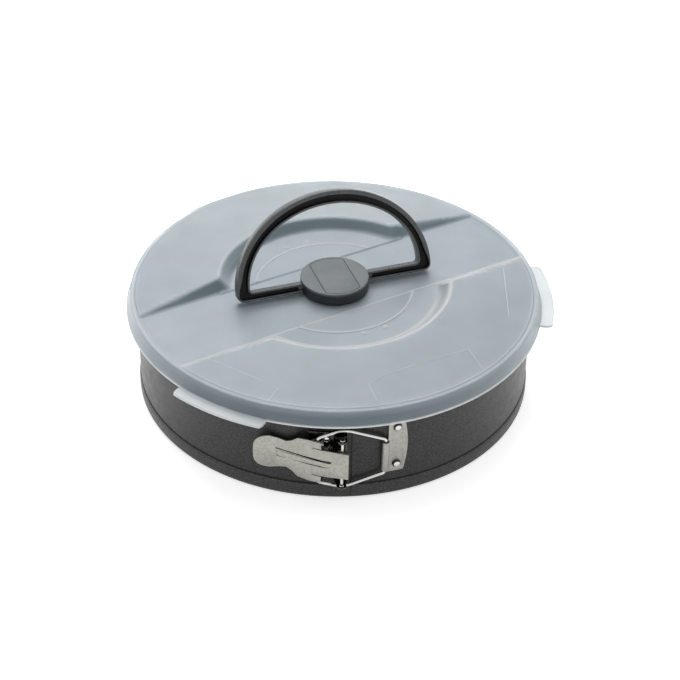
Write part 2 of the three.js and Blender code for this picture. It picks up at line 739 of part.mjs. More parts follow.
// The lid is the dish with its relief, less the same form one wall lower.
function lidShell() {
  const dish = solidOf(revolved([
    [0, lidSkirtFoot],
    [lidSkirtRadius, lidSkirtFoot],
    [lidSkirtRadius, lidSkirtFoot + lipHeight],
    [lidSkirtRadius - lipStep, lidSkirtFoot + lipHeight + lipStep],
    ...arc(rimRingOuter, rimTop - lidShoulderRound, lidShoulderRound, 0, 90, 2),
    [rimRingInner, rimTop],
    [rimRingInner - channelFloorDrop, channelFloor],
    [0, channelFloor]]));
  const underRim = rimTop - lidWall;
  const underFloor = channelFloor - lidWall;
  const hollow = solidOf(revolved([
    [0, lidSkirtFoot - overrun],
    [lidSkirtRadius - lidWall + overrun / 4, lidSkirtFoot - overrun],
    [lidSkirtRadius - lidWall, lidSkirtFoot],
    [lidShoulderRadius - lidWall, underRim],
    [rimRingInner, underRim],
    [rimRingInner - channelFloorDrop, underFloor],
    [0, underFloor]]));
  let lid = dish.add(lidRelief(0));
  for (const bearing of tabBearings) lid = lid.add(rimTab(bearing));
  lid = lid.subtract(hollow.add(lidRelief(lidWall)));
  const hubHole = bored(shankRadius, 4 * lidWall, roundSteps / 2).translate([0, 0, channelFloor]);
  return geometryOf(lid.subtract(hubHole));
}

// A finger tab stands out from the foot of the skirt, with rounded corners.
function rimTab(bearing) {
  const corner = tabHalfAngle - tabCornerAngle;
  const cornerDepth = (tabRadius - lidSkirtRadius) / 2;
  const side = (sign) => [
    [tabRadius - cornerDepth, sign * (tabHalfAngle - tabCornerAngle / 4)],
    [tabRadius - cornerDepth / 3, sign * (corner + tabCornerAngle / 2)]];
  const polar = [
    [lidSkirtRadius - lidWall / 2, -tabHalfAngle],
    ...side(-1),
    ...Array.from({ length: 9 }, (_, i) => [tabRadius, corner * (i / 4 - 1)]),
    ...side(1).reverse(),
    [lidSkirtRadius - lidWall / 2, tabHalfAngle],
    ...Array.from({ length: 7 }, (_, i) => [lidSkirtRadius - lidWall / 2, tabHalfAngle * (3 - i) / 4]),
  ];
  const outline = polar.map(([radius, turn]) => [
    radius * Math.cos(rad(bearing + turn)), radius * Math.sin(rad(bearing + turn))]);
  return solidOf(prism(outline, lidSkirtFoot, lidSkirtFoot + tabThick));
}

// Hub: a drum that holds the handle's rod in an open slot, with a shank through the lid
function hubBase() {
  const split = hubTop - hubCapThick - workingGap;
  const shankFoot = channelFloor - lidWall;
  let base = solidOf(revolved([
    [0, shankFoot],
    [shankRadius, shankFoot],
    [shankRadius, hubFoot],
    [hubRadius - hubEdge, hubFoot],
    [hubRadius, hubFoot + hubEdge],
    [hubRadius, split],
    [0, split]], roundSteps / 2));
  const slotHalf = handleRodRadius + workingGap;
  const slot = [
    [slotHalf, hubTop], [-slotHalf, hubTop],
    ...arc(0, handleAxis, slotHalf, 180, 360, 10)];
  const cut = prism(slot, -hubRadius - overrun, hubRadius + overrun);
  cut.rotateX(Math.PI / 2);
  cut.rotateZ(Math.PI / 2);
  base = base.subtract(solidOf(cut));
  for (const [x, y] of screwPlaces()) {
    base = base.subtract(bored(screwRadius, 2 * screwDepth).translate([x, y, shankFoot]));
  }
  return geometryOf(base);
}

function screwPlaces() {
  return Array.from({ length: screwCount }, (_, i) => {
    const bearing = rad(90 + 360 * i / screwCount);
    return [screwOrbit * Math.cos(bearing), screwOrbit * Math.sin(bearing)];
  });
}

// Cap over the slot, with a shallow pocket for the centre panel
function hubCap() {
  const low = hubTop - hubCapThick;
  const cap = solidOf(revolved([
    [0, low], [hubRadius, low], [hubRadius, hubTop - hubEdge / 2], [hubRadius - hubEdge / 2, hubTop],
    [0, hubTop]], roundSteps / 2));
  const pocketFloor = hubTop - panelThick;
  return geometryOf(cap.subtract(solidOf(prism(panelOutline(0), pocketFloor, hubTop + overrun))));
}

// Panel outline: straight sides square to the handle's bar and round ends, shrunk by a gap
function panelOutline(gap) {
  const half = panelHalfWidth - gap;
  const reach = panelReach - gap;
  const turn = THREE.MathUtils.radToDeg(Math.asin(half / reach));
  return [...arc(0, 0, reach, -90 - turn, -90 + turn, 10), ...arc(0, 0, reach, 90 - turn, 90 + turn, 10)];
}

function hubPanel() {
  return prism(panelOutline(panelGap), hubTop - panelThick + workingGap, hubTop);
}

// Washer that clamps the hub to the lid from below, and the screws that hold it
function hubRetainer() {
  let washer = solidOf(revolved([
    [0, retainerTop - retainerThick], [retainerRadius - hubEdge, retainerTop - retainerThick],
    [retainerRadius, retainerTop - retainerThick + hubEdge], [retainerRadius, retainerTop],
    [0, retainerTop]], roundSteps / 2));
  for (const [x, y] of screwPlaces()) {
    const hole = bored(screwRadius, 2 * retainerThick + overrun);
    washer = washer.subtract(hole.translate([x, y, retainerTop]));
  }
  return geometryOf(washer);
}

function retainerScrew(x, y) {
  const seat = retainerTop - retainerThick - workingGap;
  const geometry = revolved([
    [0, seat - screwHeadThick], [screwHeadRadius - hubEdge, seat - screwHeadThick],
    [screwHeadRadius, seat - screwHeadThick / 2], [screwHeadRadius, seat],
    [screwRadius, seat], [screwRadius, seat + screwDepth], [0, seat + screwDepth]], smallSteps);
  geometry.translate(x, y, 0);
  return geometryOf(solidOf(geometry));
}

// The D-shaped handle in its own plane: x along the bar, y up the arch, z through it.
// A groove runs round its front face, and a round rod replaces the bar inside the hub.
function dOutline(halfSpan, reach, base, corner) {
  const arch = arc(0, 0, 1, 0, 180, archSteps).map(([x, y]) => [
    halfSpan * x, base + corner + (reach - base - corner) * y]);
  return [
    ...arc(-halfSpan + corner, base + corner, corner, 180, 270, 3),
    ...arc(halfSpan - corner, base + corner, corner, 270, 360, 3),
    ...arch.slice(1, -1)];
}

function carryHandle() {
  const halfBar = barHeight / 2;
  const back = -handleThick / 2;
  const body = new THREE.Shape(
    dOutline(handleHalfSpan, handleReach, -halfBar, handleCorner).map(([x, y]) => new THREE.Vector2(x, y)));
  const gap = dOutline(handleHalfSpan - handleWidth, handleReach - handleWidth, halfBar, handleCorner / 2);
  body.holes.push(new THREE.Path(gap.map(([x, y]) => new THREE.Vector2(x, y)).reverse()));
  const blank = new THREE.ExtrudeGeometry(body, {
    depth: handleThick - 2 * handleEdge, bevelEnabled: true, bevelThickness: handleEdge,
    bevelSize: handleEdge, bevelOffset: -handleEdge, bevelSegments: 1 });
  blank.translate(0, 0, back + handleEdge);
  let handle = solidOf(blank);

  const channel = new THREE.Shape(dOutline(
    handleHalfSpan - grooveLip, handleReach - grooveLip, -halfBar + barLip, handleCorner - grooveLip)
    .map(([x, y]) => new THREE.Vector2(x, y)));
  const island = dOutline(
    handleHalfSpan - handleWidth + grooveLip, handleReach - handleWidth + grooveLip, halfBar - barLip,
    handleCorner / 2 + grooveLip);
  channel.holes.push(new THREE.Path(island.map(([x, y]) => new THREE.Vector2(x, y)).reverse()));
  const groove = new THREE.ExtrudeGeometry(channel, { depth: grooveDepth + overrun, bevelEnabled: false });
  groove.translate(0, 0, handleThick / 2 - grooveDepth);
  handle = handle.subtract(solidOf(groove));

  const hubClear = hubRadius + workingGap;
  const window = prism(
    [[-hubClear, -barHeight], [hubClear, -barHeight], [hubClear, barHeight], [-hubClear, barHeight]],
    -handleThick, handleThick);
  const rod = new THREE.CylinderGeometry(
    handleRodRadius, handleRodRadius, 2 * (hubClear + handleWidth / 3), 16);
  rod.rotateZ(Math.PI / 2);
  return geometryOf(handle.subtract(solidOf(window)).add(solidOf(rod)));
}

// Assembly
add('side_ring', sideRing(), speckledSteel);
add('base_plate', basePlate(), speckledSteel);
add('lever_bracket', leverBracket(), nickelSteel);
add('bracket_rivet_lower', rivet(bracketRivetX, bracketRivetHeights[0], panBoreRadius), nickelSteel);
add('bracket_rivet_upper', rivet(bracketRivetX, bracketRivetHeights[1], panBoreRadius), nickelSteel);
add('lever_pin', leverPin(), nickelSteel);
add('latch_lever', latchLever(), nickelSteel);
add('tension_bail', tensionBail(), nickelSteel);
add('catch_plate', catchPlate(), nickelSteel);
add('catch_rivet_lower', rivet(catchRivetX, catchRivetHeights[0], panBoreRadius), nickelSteel);
add('catch_rivet_upper', rivet(catchRivetX, catchRivetHeights[1], panBoreRadius), nickelSteel);
add('lid_shell', lidShell(), frostedPlastic);

const hub = new THREE.Group();
hub.rotation.z = rad(hubBearing);
pan.add(hub);
add('hub_base', hubBase(), darkPlastic, hub);
add('hub_cap', hubCap(), greyPlastic, hub);
add('hub_panel', hubPanel(), greyPlastic, hub);
add('hub_retainer', hubRetainer(), darkPlastic, hub);
screwPlaces().forEach(([x, y], i) => {
  add(`retainer_screw_${i + 1}`, retainerScrew(x, y), nickelSteel, hub);
});

const lean = new THREE.Group();
lean.position.z = handleAxis;
lean.rotation.x = Math.PI / 2 - rad(handleLean);
hub.add(lean);
add('carry_handle', carryHandle(), darkPlastic, lean);

export default pan;
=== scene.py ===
# %% [markdown]
# A springform cake pan under its carrying lid
#
# The pan is dark non-stick steel, closed by a nickel-plated wire latch. The lid is frosted
# plastic with a folding handle on a round hub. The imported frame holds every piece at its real
# size, and these cells give each one its fine surface and its finish.

# %% Frame and units
import json
import math

import bpy
from mathutils import Matrix, Vector


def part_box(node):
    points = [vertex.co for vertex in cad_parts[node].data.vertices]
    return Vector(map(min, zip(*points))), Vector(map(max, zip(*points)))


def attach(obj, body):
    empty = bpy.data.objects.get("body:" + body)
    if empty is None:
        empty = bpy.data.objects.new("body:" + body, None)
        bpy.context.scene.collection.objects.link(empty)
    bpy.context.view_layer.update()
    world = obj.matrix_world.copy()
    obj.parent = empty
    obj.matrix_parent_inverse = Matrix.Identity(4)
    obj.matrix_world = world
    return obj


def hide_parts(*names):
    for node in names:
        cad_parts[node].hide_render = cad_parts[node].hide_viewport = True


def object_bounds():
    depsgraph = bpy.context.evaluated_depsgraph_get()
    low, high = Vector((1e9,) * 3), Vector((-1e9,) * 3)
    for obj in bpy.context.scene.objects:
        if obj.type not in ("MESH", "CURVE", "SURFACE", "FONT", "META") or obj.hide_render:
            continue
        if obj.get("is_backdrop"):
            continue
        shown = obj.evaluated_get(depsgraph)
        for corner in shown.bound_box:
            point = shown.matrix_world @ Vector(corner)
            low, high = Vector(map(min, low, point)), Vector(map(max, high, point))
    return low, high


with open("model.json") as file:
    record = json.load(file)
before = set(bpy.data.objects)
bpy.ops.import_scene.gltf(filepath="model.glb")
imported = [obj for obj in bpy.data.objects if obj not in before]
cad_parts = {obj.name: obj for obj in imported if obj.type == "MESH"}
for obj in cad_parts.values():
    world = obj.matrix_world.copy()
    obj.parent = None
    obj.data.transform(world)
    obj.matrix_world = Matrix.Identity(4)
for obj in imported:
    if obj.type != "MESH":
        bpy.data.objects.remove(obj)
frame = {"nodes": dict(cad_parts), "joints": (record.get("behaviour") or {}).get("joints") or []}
cad_low, cad_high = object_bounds()
MM = 0.001
joints = {joint["name"]: joint for joint in frame["joints"]}
print("frame", [round(side / MM, 1) for side in cad_high - cad_low], "mm")

# %% [markdown]
# Camera first
#
# The photograph looks down at the front from 37 degrees. The lens is long, so the circles stay
# nearly true ellipses. The object sits low in the picture, which is a small shift of the film
# and not a tilt, and the picture is rolled by one degree.

# %% Camera
CAMERA_DISTANCE = 1.2415
CAMERA_ELEVATION = math.radians(37.1)
CAMERA_ROLL = 0.017
FILM_WIDTH = 36
PICTURE_SIDE = 680
FOCAL_PIXELS = 1812
CENTRE_RIGHT_PIXELS = 7.0
CENTRE_DOWN_PIXELS = 32.5

view_back = Vector((0, -math.cos(CAMERA_ELEVATION), math.sin(CAMERA_ELEVATION)))
bpy.ops.object.camera_add(location=view_back * CAMERA_DISTANCE)
camera = bpy.context.object
camera.name = "camera"
facing = view_back.to_track_quat("Z", "Y")
camera.rotation_euler = (facing.to_matrix() @ Matrix.Rotation(CAMERA_ROLL, 3, "Z")).to_euler()
camera.data.sensor_width = FILM_WIDTH
camera.data.lens = FOCAL_PIXELS / PICTURE_SIDE * FILM_WIDTH
camera.data.shift_x = CENTRE_RIGHT_PIXELS / PICTURE_SIDE
camera.data.shift_y = CENTRE_DOWN_PIXELS / PICTURE_SIDE
bpy.context.scene.camera = camera
print("lens", round(camera.data.lens, 1), "mm")

# %% [markdown]
# Small habits for modelling
#
# An operator works on everything that is selected, so each step starts from nothing. A turned
# piece is drawn as half an outline, point by point, and spun round the upright axis, the way a
# lathe or a spinning machine makes it.

# %% Selecting
def nothing_selected():
    if bpy.context.object and bpy.context.object.mode != "OBJECT":
        bpy.ops.object.mode_set(mode="OBJECT")
    bpy.ops.object.select_all(action="DESELECT")


def pick(piece):
    nothing_selected()
    piece.hide_set(False)
    piece.select_set(True)
    bpy.context.view_layer.objects.active = piece
    return piece


def named(name):
    piece = bpy.context.object
    piece.name = name
    piece.data.name = name
    return piece


# %% Drawing and spinning
def draw_line(name, points):
    """One chain of edges through points in millimetres, extruded vertex by vertex."""
    nothing_selected()
    bpy.ops.mesh.primitive_plane_add(size=MM, location=Vector(points[0]) * MM)
    piece = named(name)
    bpy.ops.object.mode_set(mode="EDIT")
    bpy.ops.mesh.merge(type="CENTER")
    for here, there in zip(points, points[1:]):
        step = (Vector(there) - Vector(here)) * MM
        bpy.ops.mesh.extrude_region_move(TRANSFORM_OT_translate={"value": step})
    bpy.ops.object.mode_set(mode="OBJECT")
    bpy.ops.object.transform_apply()
    return piece


def smooth(piece, degrees=35):
    pick(piece)
    bpy.ops.object.shade_smooth_by_angle(angle=math.radians(degrees))
    return piece


def turn(name, outline, steps=192, start=0.0, sweep=360.0):
    """Spin an outline of (radius, height) round the upright axis, in degrees.

    An outline that starts on the axis ends on it too, and its two ends become closed poles.
    """
    points = [(radius, 0, height) for radius, height in outline]
    piece = draw_line(name, points + points[:1] if outline[0][0] else points)
    bpy.ops.object.mode_set(mode="EDIT")
    bpy.ops.mesh.select_all(action="SELECT")
    bpy.ops.mesh.remove_doubles(threshold=MM / 1000)
    bpy.ops.mesh.spin(steps=steps, angle=math.radians(sweep), center=(0, 0, 0), axis=(0, 0, 1))
    bpy.ops.mesh.select_all(action="SELECT")
    bpy.ops.mesh.remove_doubles(threshold=MM / 1000)
    bpy.ops.mesh.fill_holes(sides=0)
    bpy.ops.mesh.select_all(action="SELECT")
    bpy.ops.mesh.normals_make_consistent(inside=False)
    bpy.ops.object.mode_set(mode="OBJECT")
    if sweep < 360:
        # A spin may run either way round, so the second row of points tells which it was.
        second = math.radians(sweep / steps)
        bearings = [math.atan2(v.co.y, v.co.x) for v in piece.data.vertices]
        forward = any(abs(bearing - second) < second / 50 for bearing in bearings)
        first = start if forward else start + sweep
        piece.data.transform(Matrix.Rotation(math.radians(first), 4, "Z"))
    return smooth(piece)


def arc(centre, radius, first, last, steps):
    """Points of an arc about (radius, height), in degrees."""
    turns = [math.radians(first + (last - first) * i / steps) for i in range(steps + 1)]
    return [(centre[0] + radius * math.cos(t), centre[1] + radius * math.sin(t)) for t in turns]


# %% Finishing
# A point counts as on a line or at a height when it is this near, in millimetres.
TOUCH = 0.1


def apply(piece, kind, **settings):
    pick(piece)
    modifier = piece.modifiers.new(kind.title(), kind)
    for key, value in settings.items():
        setattr(modifier, key, value)
    bpy.ops.object.modifier_apply(modifier=modifier.name)
    return piece


def shade_points(piece, shade_of):
    """Keep painted light and shade from 0 to 1 at each point, half being plain, for the finish to
    read.
    """
    layer = piece.data.attributes.new("shade", "FLOAT", "POINT")
    for spot, vertex in zip(layer.data, piece.data.vertices):
        spot.value = min(max(shade_of(vertex.co / MM), 0), 1)
    return piece


def plain(spot):
    return 0.5


def soften(piece, width, segments=3, degrees=35):
    """Round every sharp edge, as a mould, a press or a tumbling drum does."""
    apply(piece, "BEVEL", width=width * MM, segments=segments, limit_method="ANGLE",
          angle_limit=math.radians(degrees), harden_normals=False)
    return smooth(piece, degrees)


def bevel_edges(piece, chosen, width, segments):
    """Round only the edges whose two ends, in millimetres, are chosen."""
    pick(piece)
    bpy.ops.object.mode_set(mode="EDIT")
    bpy.ops.mesh.select_mode(type="EDGE")
    bpy.ops.mesh.select_all(action="DESELECT")
    bpy.ops.object.mode_set(mode="OBJECT")
    for edge in piece.data.edges:
        edge.select = chosen(*[piece.data.vertices[i].co / MM for i in edge.vertices])
    bpy.ops.object.mode_set(mode="EDIT")
    bpy.ops.mesh.bevel(offset=width * MM, segments=segments, affect="EDGES")
    bpy.ops.mesh.select_mode(type="VERT")
    bpy.ops.object.mode_set(mode="OBJECT")


def cut(piece, tool):
    apply(piece, "BOOLEAN", operation="DIFFERENCE", solver="EXACT", object=tool)
    bpy.data.objects.remove(tool)
    return piece


def stands_for(piece, body, slot, *nodes):
    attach(piece, body)
    if nodes:
        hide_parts(*nodes)
    print(piece.name, len(piece.data.polygons), "faces on", body)
    return piece


def fine_copy(node, width):
    """A merged copy of a frame node, with its flats joined and its edges rounded."""
    piece = frame["nodes"][node].copy()
    piece.data = piece.data.copy()
    piece.name = node + "_fine"
    piece.parent = None
    for key in list(piece.keys()):
        del piece[key]
    bpy.context.scene.collection.objects.link(piece)
    pick(piece)
    bpy.ops.object.mode_set(mode="EDIT")
    bpy.ops.mesh.select_all(action="SELECT")
    bpy.ops.mesh.remove_doubles(threshold=MM / 500)
    bpy.ops.mesh.dissolve_limited(angle_limit=math.radians(0.5))
    bpy.ops.object.mode_set(mode="OBJECT")
    return soften(piece, width, segments=2)


# %% [markdown]
# Materials
#
# Each finish is one Principled shader with noise for what the real surface has: speckles in the
# sprayed coating, a soft haze in the frosted plastic, a faint mottle in the plated steel.
# The patterns read the piece's own place in metres, so they stay put when a piece moves.

# %% Shader helpers
def new_finish(name):
    material = bpy.data.materials.new(name)
    material.use_nodes = True
    tree = material.node_tree
    shader = tree.nodes["Principled BSDF"]
    place = tree.nodes.new("ShaderNodeTexCoord")
    return material, tree, shader, place.outputs["Object"]


def noise(tree, place, grain, detail=3.0):
    """Noise whose blobs are about one grain across, in millimetres."""
    texture = tree.nodes.new("ShaderNodeTexNoise")
    texture.inputs["Scale"].default_value = 1 / (grain * MM)
    texture.inputs["Detail"].default_value = detail
    tree.links.new(place, texture.inputs["Vector"])
    return texture.outputs["Fac"]


def ramp(tree, value, stops):
    node = tree.nodes.new("ShaderNodeValToRGB")
    while len(node.color_ramp.elements) < len(stops):
        node.color_ramp.elements.new(0.5)
    for element, (position, colour) in zip(node.color_ramp.elements, stops):
        element.position = position
        element.color = (*colour, 1)
    tree.links.new(value, node.inputs["Fac"])
    return node.outputs["Color"]


def grey(level):
    return (level, level, level)


# The painted light and shade kept at each point.
def shade_of_points(tree):
    attribute = tree.nodes.new("ShaderNodeAttribute")
    attribute.attribute_name = "shade"
    return attribute.outputs["Fac"]


def multiplied(tree, first, second):
    node = tree.nodes.new("ShaderNodeMix")
    node.data_type = "RGBA"
    node.blend_type = "MULTIPLY"
    node.inputs["Factor"].default_value = 1
    tree.links.new(first, node.inputs["A"])
    tree.links.new(second, node.inputs["B"])
    return node.outputs["Result"]


def mottled(tree, value, dark, light):
    """Two colours mixed by noise, whose values lie mostly between these two stops."""
    return ramp(tree, value, [(0.35, dark), (0.65, light)])


def roughened(tree, shader, value, low, high):
    roughness = ramp(tree, value, [(0.3, grey(low)), (0.7, grey(high))])
    tree.links.new(roughness, shader.inputs["Roughness"])


def bumped(tree, shader, value, depth):
    bump = tree.nodes.new("ShaderNodeBump")
    bump.inputs["Distance"].default_value = depth * MM
    tree.links.new(value, bump.inputs["Height"])
    tree.links.new(bump.outputs["Normal"], shader.inputs["Normal"])


# %% Sprayed non-stick coating
def nonstick_coating():
    material, tree, shader, place = new_finish("nonstick_coating")
    speckle = noise(tree, place, 0.55, 2)
    stops = [(0.36, grey(0.015)), (0.5, grey(0.036)), (0.68, (0.115, 0.115, 0.113))]
    # Painted shade in the ring's crease and foot, painted highlight on its bulge and rim.
    shade = ramp(tree, shade_of_points(tree), [(0, grey(0.12)), (0.5, grey(0.6)), (1, grey(1))])
    colour = multiplied(tree, ramp(tree, speckle, stops), shade)
    tree.links.new(colour, shader.inputs["Base Color"])
    roughened(tree, shader, noise(tree, place, 6), 0.34, 0.44)
    bumped(tree, shader, speckle, 0.05)
    shader.inputs["Specular IOR Level"].default_value = 0.3
    return material


# %% Plated and polished steel
def steel(name, dark, light, mottle_grain, haze_grain, low, high, pitting=0):
    """A mottle and a haze of given grains, roughness from low to high, and a depth of pitting."""
    material, tree, shader, place = new_finish(name)
    shader.inputs["Metallic"].default_value = 1
    mottle = mottled(tree, noise(tree, place, mottle_grain), dark, light)
    tree.links.new(mottle, shader.inputs["Base Color"])
    roughened(tree, shader, noise(tree, place, haze_grain), low, high)
    if pitting:
        bumped(tree, shader, noise(tree, place, 0.5), pitting)
    return material


# %% Frosted plastic
def frosted_plastic(name, clear, colours):
    """Clear is the share of light let through. Colours: painted shade, plain faces, painted
    highlight.
    """
    material, tree, shader, place = new_finish(name)
    haze = mottled(tree, noise(tree, place, 24, 2), grey(0.93), grey(1))
    stops = [(half / 2, shade) for half, shade in enumerate(colours)]
    colour = multiplied(tree, ramp(tree, shade_of_points(tree), stops), haze)
    tree.links.new(colour, shader.inputs["Base Color"])
    roughened(tree, shader, noise(tree, place, 3), 0.36, 0.44)
    bumped(tree, shader, noise(tree, place, 0.6), 0.008)
    shader.inputs["IOR"].default_value = 1.49
    shader.inputs["Transmission Weight"].default_value = clear
    return material


# %% Moulded plastic
def moulded_plastic(name, dark, light, low, high, gloss=0.5):
    """Two near colours, two ends of roughness and the strength of the shine."""
    material, tree, shader, place = new_finish(name)
    shade = mottled(tree, noise(tree, place, 9, 2), dark, light)
    tree.links.new(shade, shader.inputs["Base Color"])
    roughened(tree, shader, noise(tree, place, 2), low, high)
    bumped(tree, shader, noise(tree, place, 0.35), 0.012)
    shader.inputs["Specular IOR Level"].default_value = gloss
    return material


# %% Finishes
coating = nonstick_coating()
nickel = steel(
    "nickel_plate", (0.29, 0.286, 0.262), (0.365, 0.36, 0.33), 1.6, 0.8, 0.44, 0.54, 0.01)
# Polished steel for the wire, pin, screws and rivet domes, and a painted highlight on pressed
# edges.
bright_steel = steel("polished_steel_and_highlight", (0.5, 0.5, 0.49), (0.58, 0.58, 0.56), 1.2, 0.7, 0.1, 0.16)
# Near-black copy of the plating: painted shade on the bracket, the lever's slit and the rivets'
# sides.
shade_painted_nickel = steel(
    "shade_painted_steel", (0.035, 0.034, 0.032), (0.06, 0.058, 0.054), 1.2, 0.7, 0.16, 0.26)
frosted = frosted_plastic(
    "frosted_plastic", 0.62, [(0.22, 0.3, 0.345), (0.575, 0.658, 0.712), (1, 1, 1)])
# A lighter, less clear copy for edges: a painted highlight on the skirt's lip and the tabs' sides.
frosted_edge = frosted_plastic(
    "frosted_edge", 0.2, [(0.3, 0.35, 0.38), (0.72, 0.77, 0.8), (1, 1, 1)])
frosted_tab = frosted_plastic(
    "frosted_tab", 0.5, [(0.3, 0.35, 0.38), (0.64, 0.7, 0.73), (1, 1, 1)])
charcoal = moulded_plastic(
    "charcoal_plastic", (0.05, 0.053, 0.056), (0.063, 0.066, 0.07), 0.26, 0.34, 0.6)
# Near-black and dull: painted shade deep in the handle's groove.
groove_painted_shade = moulded_plastic("groove_painted_shade_plastic", grey(0.005), grey(0.008), 0.4, 0.5, 0.2)
drum_dark = moulded_plastic(
    "drum_plastic", (0.016, 0.019, 0.022), (0.02, 0.023, 0.027), 0.42, 0.5)
hub_grey = moulded_plastic(
    "hub_grey_plastic", (0.095, 0.112, 0.118), (0.108, 0.125, 0.131), 0.42, 0.5)
print("finishes", len(bpy.data.materials))


def painted(piece, *materials):
    piece.data.materials.clear()
    for material in materials:
        piece.data.materials.append(material)
    return piece


def second_finish(piece, belongs):
    """Give the second finish to the faces that belong to it."""
    for face in piece.data.polygons:
        face.material_index = 1 if belongs(face) else 0
    return piece


# %% [markdown]
# Side ring
#
# The ring is one strip of sheet steel bent round. Its foot curls under, a shallow groove holds
# the base plate, and the rim is rolled over a wire. It is drawn as a thin closed outline and
# spun all the way but for the seam, whose ends then come closer at the foot. A tongue behind
# the seam keeps the batter in.

# %% Side ring
SHEET = 0.6
ring_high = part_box("side_ring")[1]
RIM_TOP = ring_high.z / MM
BEAD_RADIUS = 1.6
BEAD_START = -128
BORE_RADIUS = ring_high.x / MM - 2 * BEAD_RADIUS
WALL_RADIUS = BORE_RADIUS + SHEET
GROOVE_BULGE = 0.8
GROOVE_RADIUS = WALL_RADIUS + GROOVE_BULGE
GROOVE_TOP = 9.6
GROOVE_SHOULDER = 2
BULGE_TAPER = 0.1
FOOT_RADIUS = 3
FOOT_REACH = 4
SEAM_BEARING = -84.6
SEAM_GAP = 0.75
FOOT_SEAM_GAP = 0.25
CREASE_DEPTH = 0.3
RING_STEPS = 288
# Points of the crease: (out of the wall, above the shoulder).
OUTER_CREASE = ((0.3, -0.8), (-CREASE_DEPTH, -0.5), (-CREASE_DEPTH, 0.3), (0, 0.7))
INNER_CREASE = ((0, 0.8), (-CREASE_DEPTH, 0))


def ring_outline():
    foot = (GROOVE_RADIUS - FOOT_RADIUS, FOOT_RADIUS)
    bead = (BORE_RADIUS + BEAD_RADIUS, RIM_TOP - BEAD_RADIUS)
    shoulder = GROOVE_TOP + GROOVE_SHOULDER
    outer = [(BORE_RADIUS - FOOT_REACH, 0)] + arc(foot, FOOT_RADIUS, -90, 0, 8)
    outer += [(GROOVE_RADIUS, GROOVE_TOP - 1), (GROOVE_RADIUS - BULGE_TAPER, GROOVE_TOP)]
    outer += [(WALL_RADIUS + out, shoulder + above) for out, above in OUTER_CREASE]
    outer += arc(bead, BEAD_RADIUS, BEAD_START, 180, 20)
    inner = [(BORE_RADIUS + out, shoulder + above) for out, above in INNER_CREASE]
    inner += [(GROOVE_RADIUS - SHEET, GROOVE_TOP)]
    inner += arc(foot, FOOT_RADIUS - SHEET, 0, -90, 6) + [(BORE_RADIUS - FOOT_REACH, SHEET)]
    return outer + inner


seam_half = math.degrees(SEAM_GAP / 2 / WALL_RADIUS)
ring = turn(
    "side_ring_fine", ring_outline(), RING_STEPS, SEAM_BEARING + seam_half, 360 - 2 * seam_half)
closing = (SEAM_GAP - FOOT_SEAM_GAP) / 2 / WALL_RADIUS
for vertex in ring.data.vertices:
    off = math.atan2(vertex.co.y, vertex.co.x) - math.radians(SEAM_BEARING)
    if vertex.co.z < GROOVE_TOP * MM and abs(off) < 2 * SEAM_GAP / WALL_RADIUS:
        vertex.co = Matrix.Rotation(-math.copysign(closing, off), 3, "Z") @ vertex.co

# %% Painted light and shade of the ring
CREASE_REACH = 0.5
BULGE_LEAST = 0.2
FOOT_CURL = 1.5
FOOT_FLAT = 0.5
FOOT_SHADE = 0.2


def ring_painted_shade(spot):
    """Painted shade in the crease and under the foot, a painted highlight on the bulge and the
    rim.
    """
    radius = math.hypot(spot.x, spot.y)
    from_crease = abs(spot.z - GROOVE_TOP - GROOVE_SHOULDER)
    if radius < WALL_RADIUS - TOUCH and from_crease < CREASE_REACH:
        return 0
    if radius > WALL_RADIUS + BULGE_LEAST and spot.z > FOOT_CURL:
        return 1
    return FOOT_SHADE if spot.z < FOOT_FLAT else plain(spot)


# Painted shade in the crease and under the foot, a painted highlight on the bulge and rim.
shade_points(painted(ring, coating), ring_painted_shade)
stands_for(ring, "pan", "nonstick_steel", "side_ring")

# %% Tongue behind the seam
TONGUE_LOW, TONGUE_HIGH = 14, 62
TONGUE_GAP = 0.3
TONGUE_RADIUS = BORE_RADIUS - TONGUE_GAP - SHEET
TONGUE_BEARING = -87.9
TONGUE_SWEEP = 7.5
tongue_outline = [(TONGUE_RADIUS, TONGUE_LOW), (TONGUE_RADIUS + SHEET, TONGUE_LOW),
                  (TONGUE_RADIUS + SHEET, TONGUE_HIGH), (TONGUE_RADIUS, TONGUE_HIGH)]
tongue = turn("ring_tongue", tongue_outline, 12, TONGUE_BEARING, TONGUE_SWEEP)
# The tongue takes the darkest painted shade, as it lies in shade behind the seam.
shade_points(painted(tongue, coating), lambda spot: 0)
stands_for(tongue, "pan", "nonstick_steel")

# %% [markdown]
# Base plate
#
# The bottom drops in from above. It is flat, steps up over the ring's foot, and its rolled hem
# sits in the groove. Most of it shows only from below.

# %% Base plate
BASE_SHEET = 0.8
BASE_FLAT_RADIUS = 121
BASE_STEP = 3
BASE_RISE = 1.8
HEM_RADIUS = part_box("base_plate")[1].x / MM
HEM_ROUND = 1
HEM_END = 110
HEM_LIFT = 0.3
hem = (HEM_RADIUS - HEM_ROUND, BASE_RISE + HEM_ROUND)
step_radius = BASE_FLAT_RADIUS + BASE_STEP
base_outline = [(0, 0), (BASE_FLAT_RADIUS, 0), (step_radius, BASE_RISE)]
base_outline += arc(hem, HEM_ROUND, -90, HEM_END, 8)
base_outline += [(HEM_RADIUS - 2 * HEM_ROUND, BASE_RISE + BASE_SHEET + HEM_LIFT)]
base_outline += [(step_radius, BASE_RISE + BASE_SHEET), (BASE_FLAT_RADIUS, BASE_SHEET)]
base_outline += [(0, BASE_SHEET)]
base = turn("base_plate_fine", base_outline, 192)
shade_points(painted(base, coating), plain)
stands_for(base, "pan", "nonstick_steel", "base_plate")

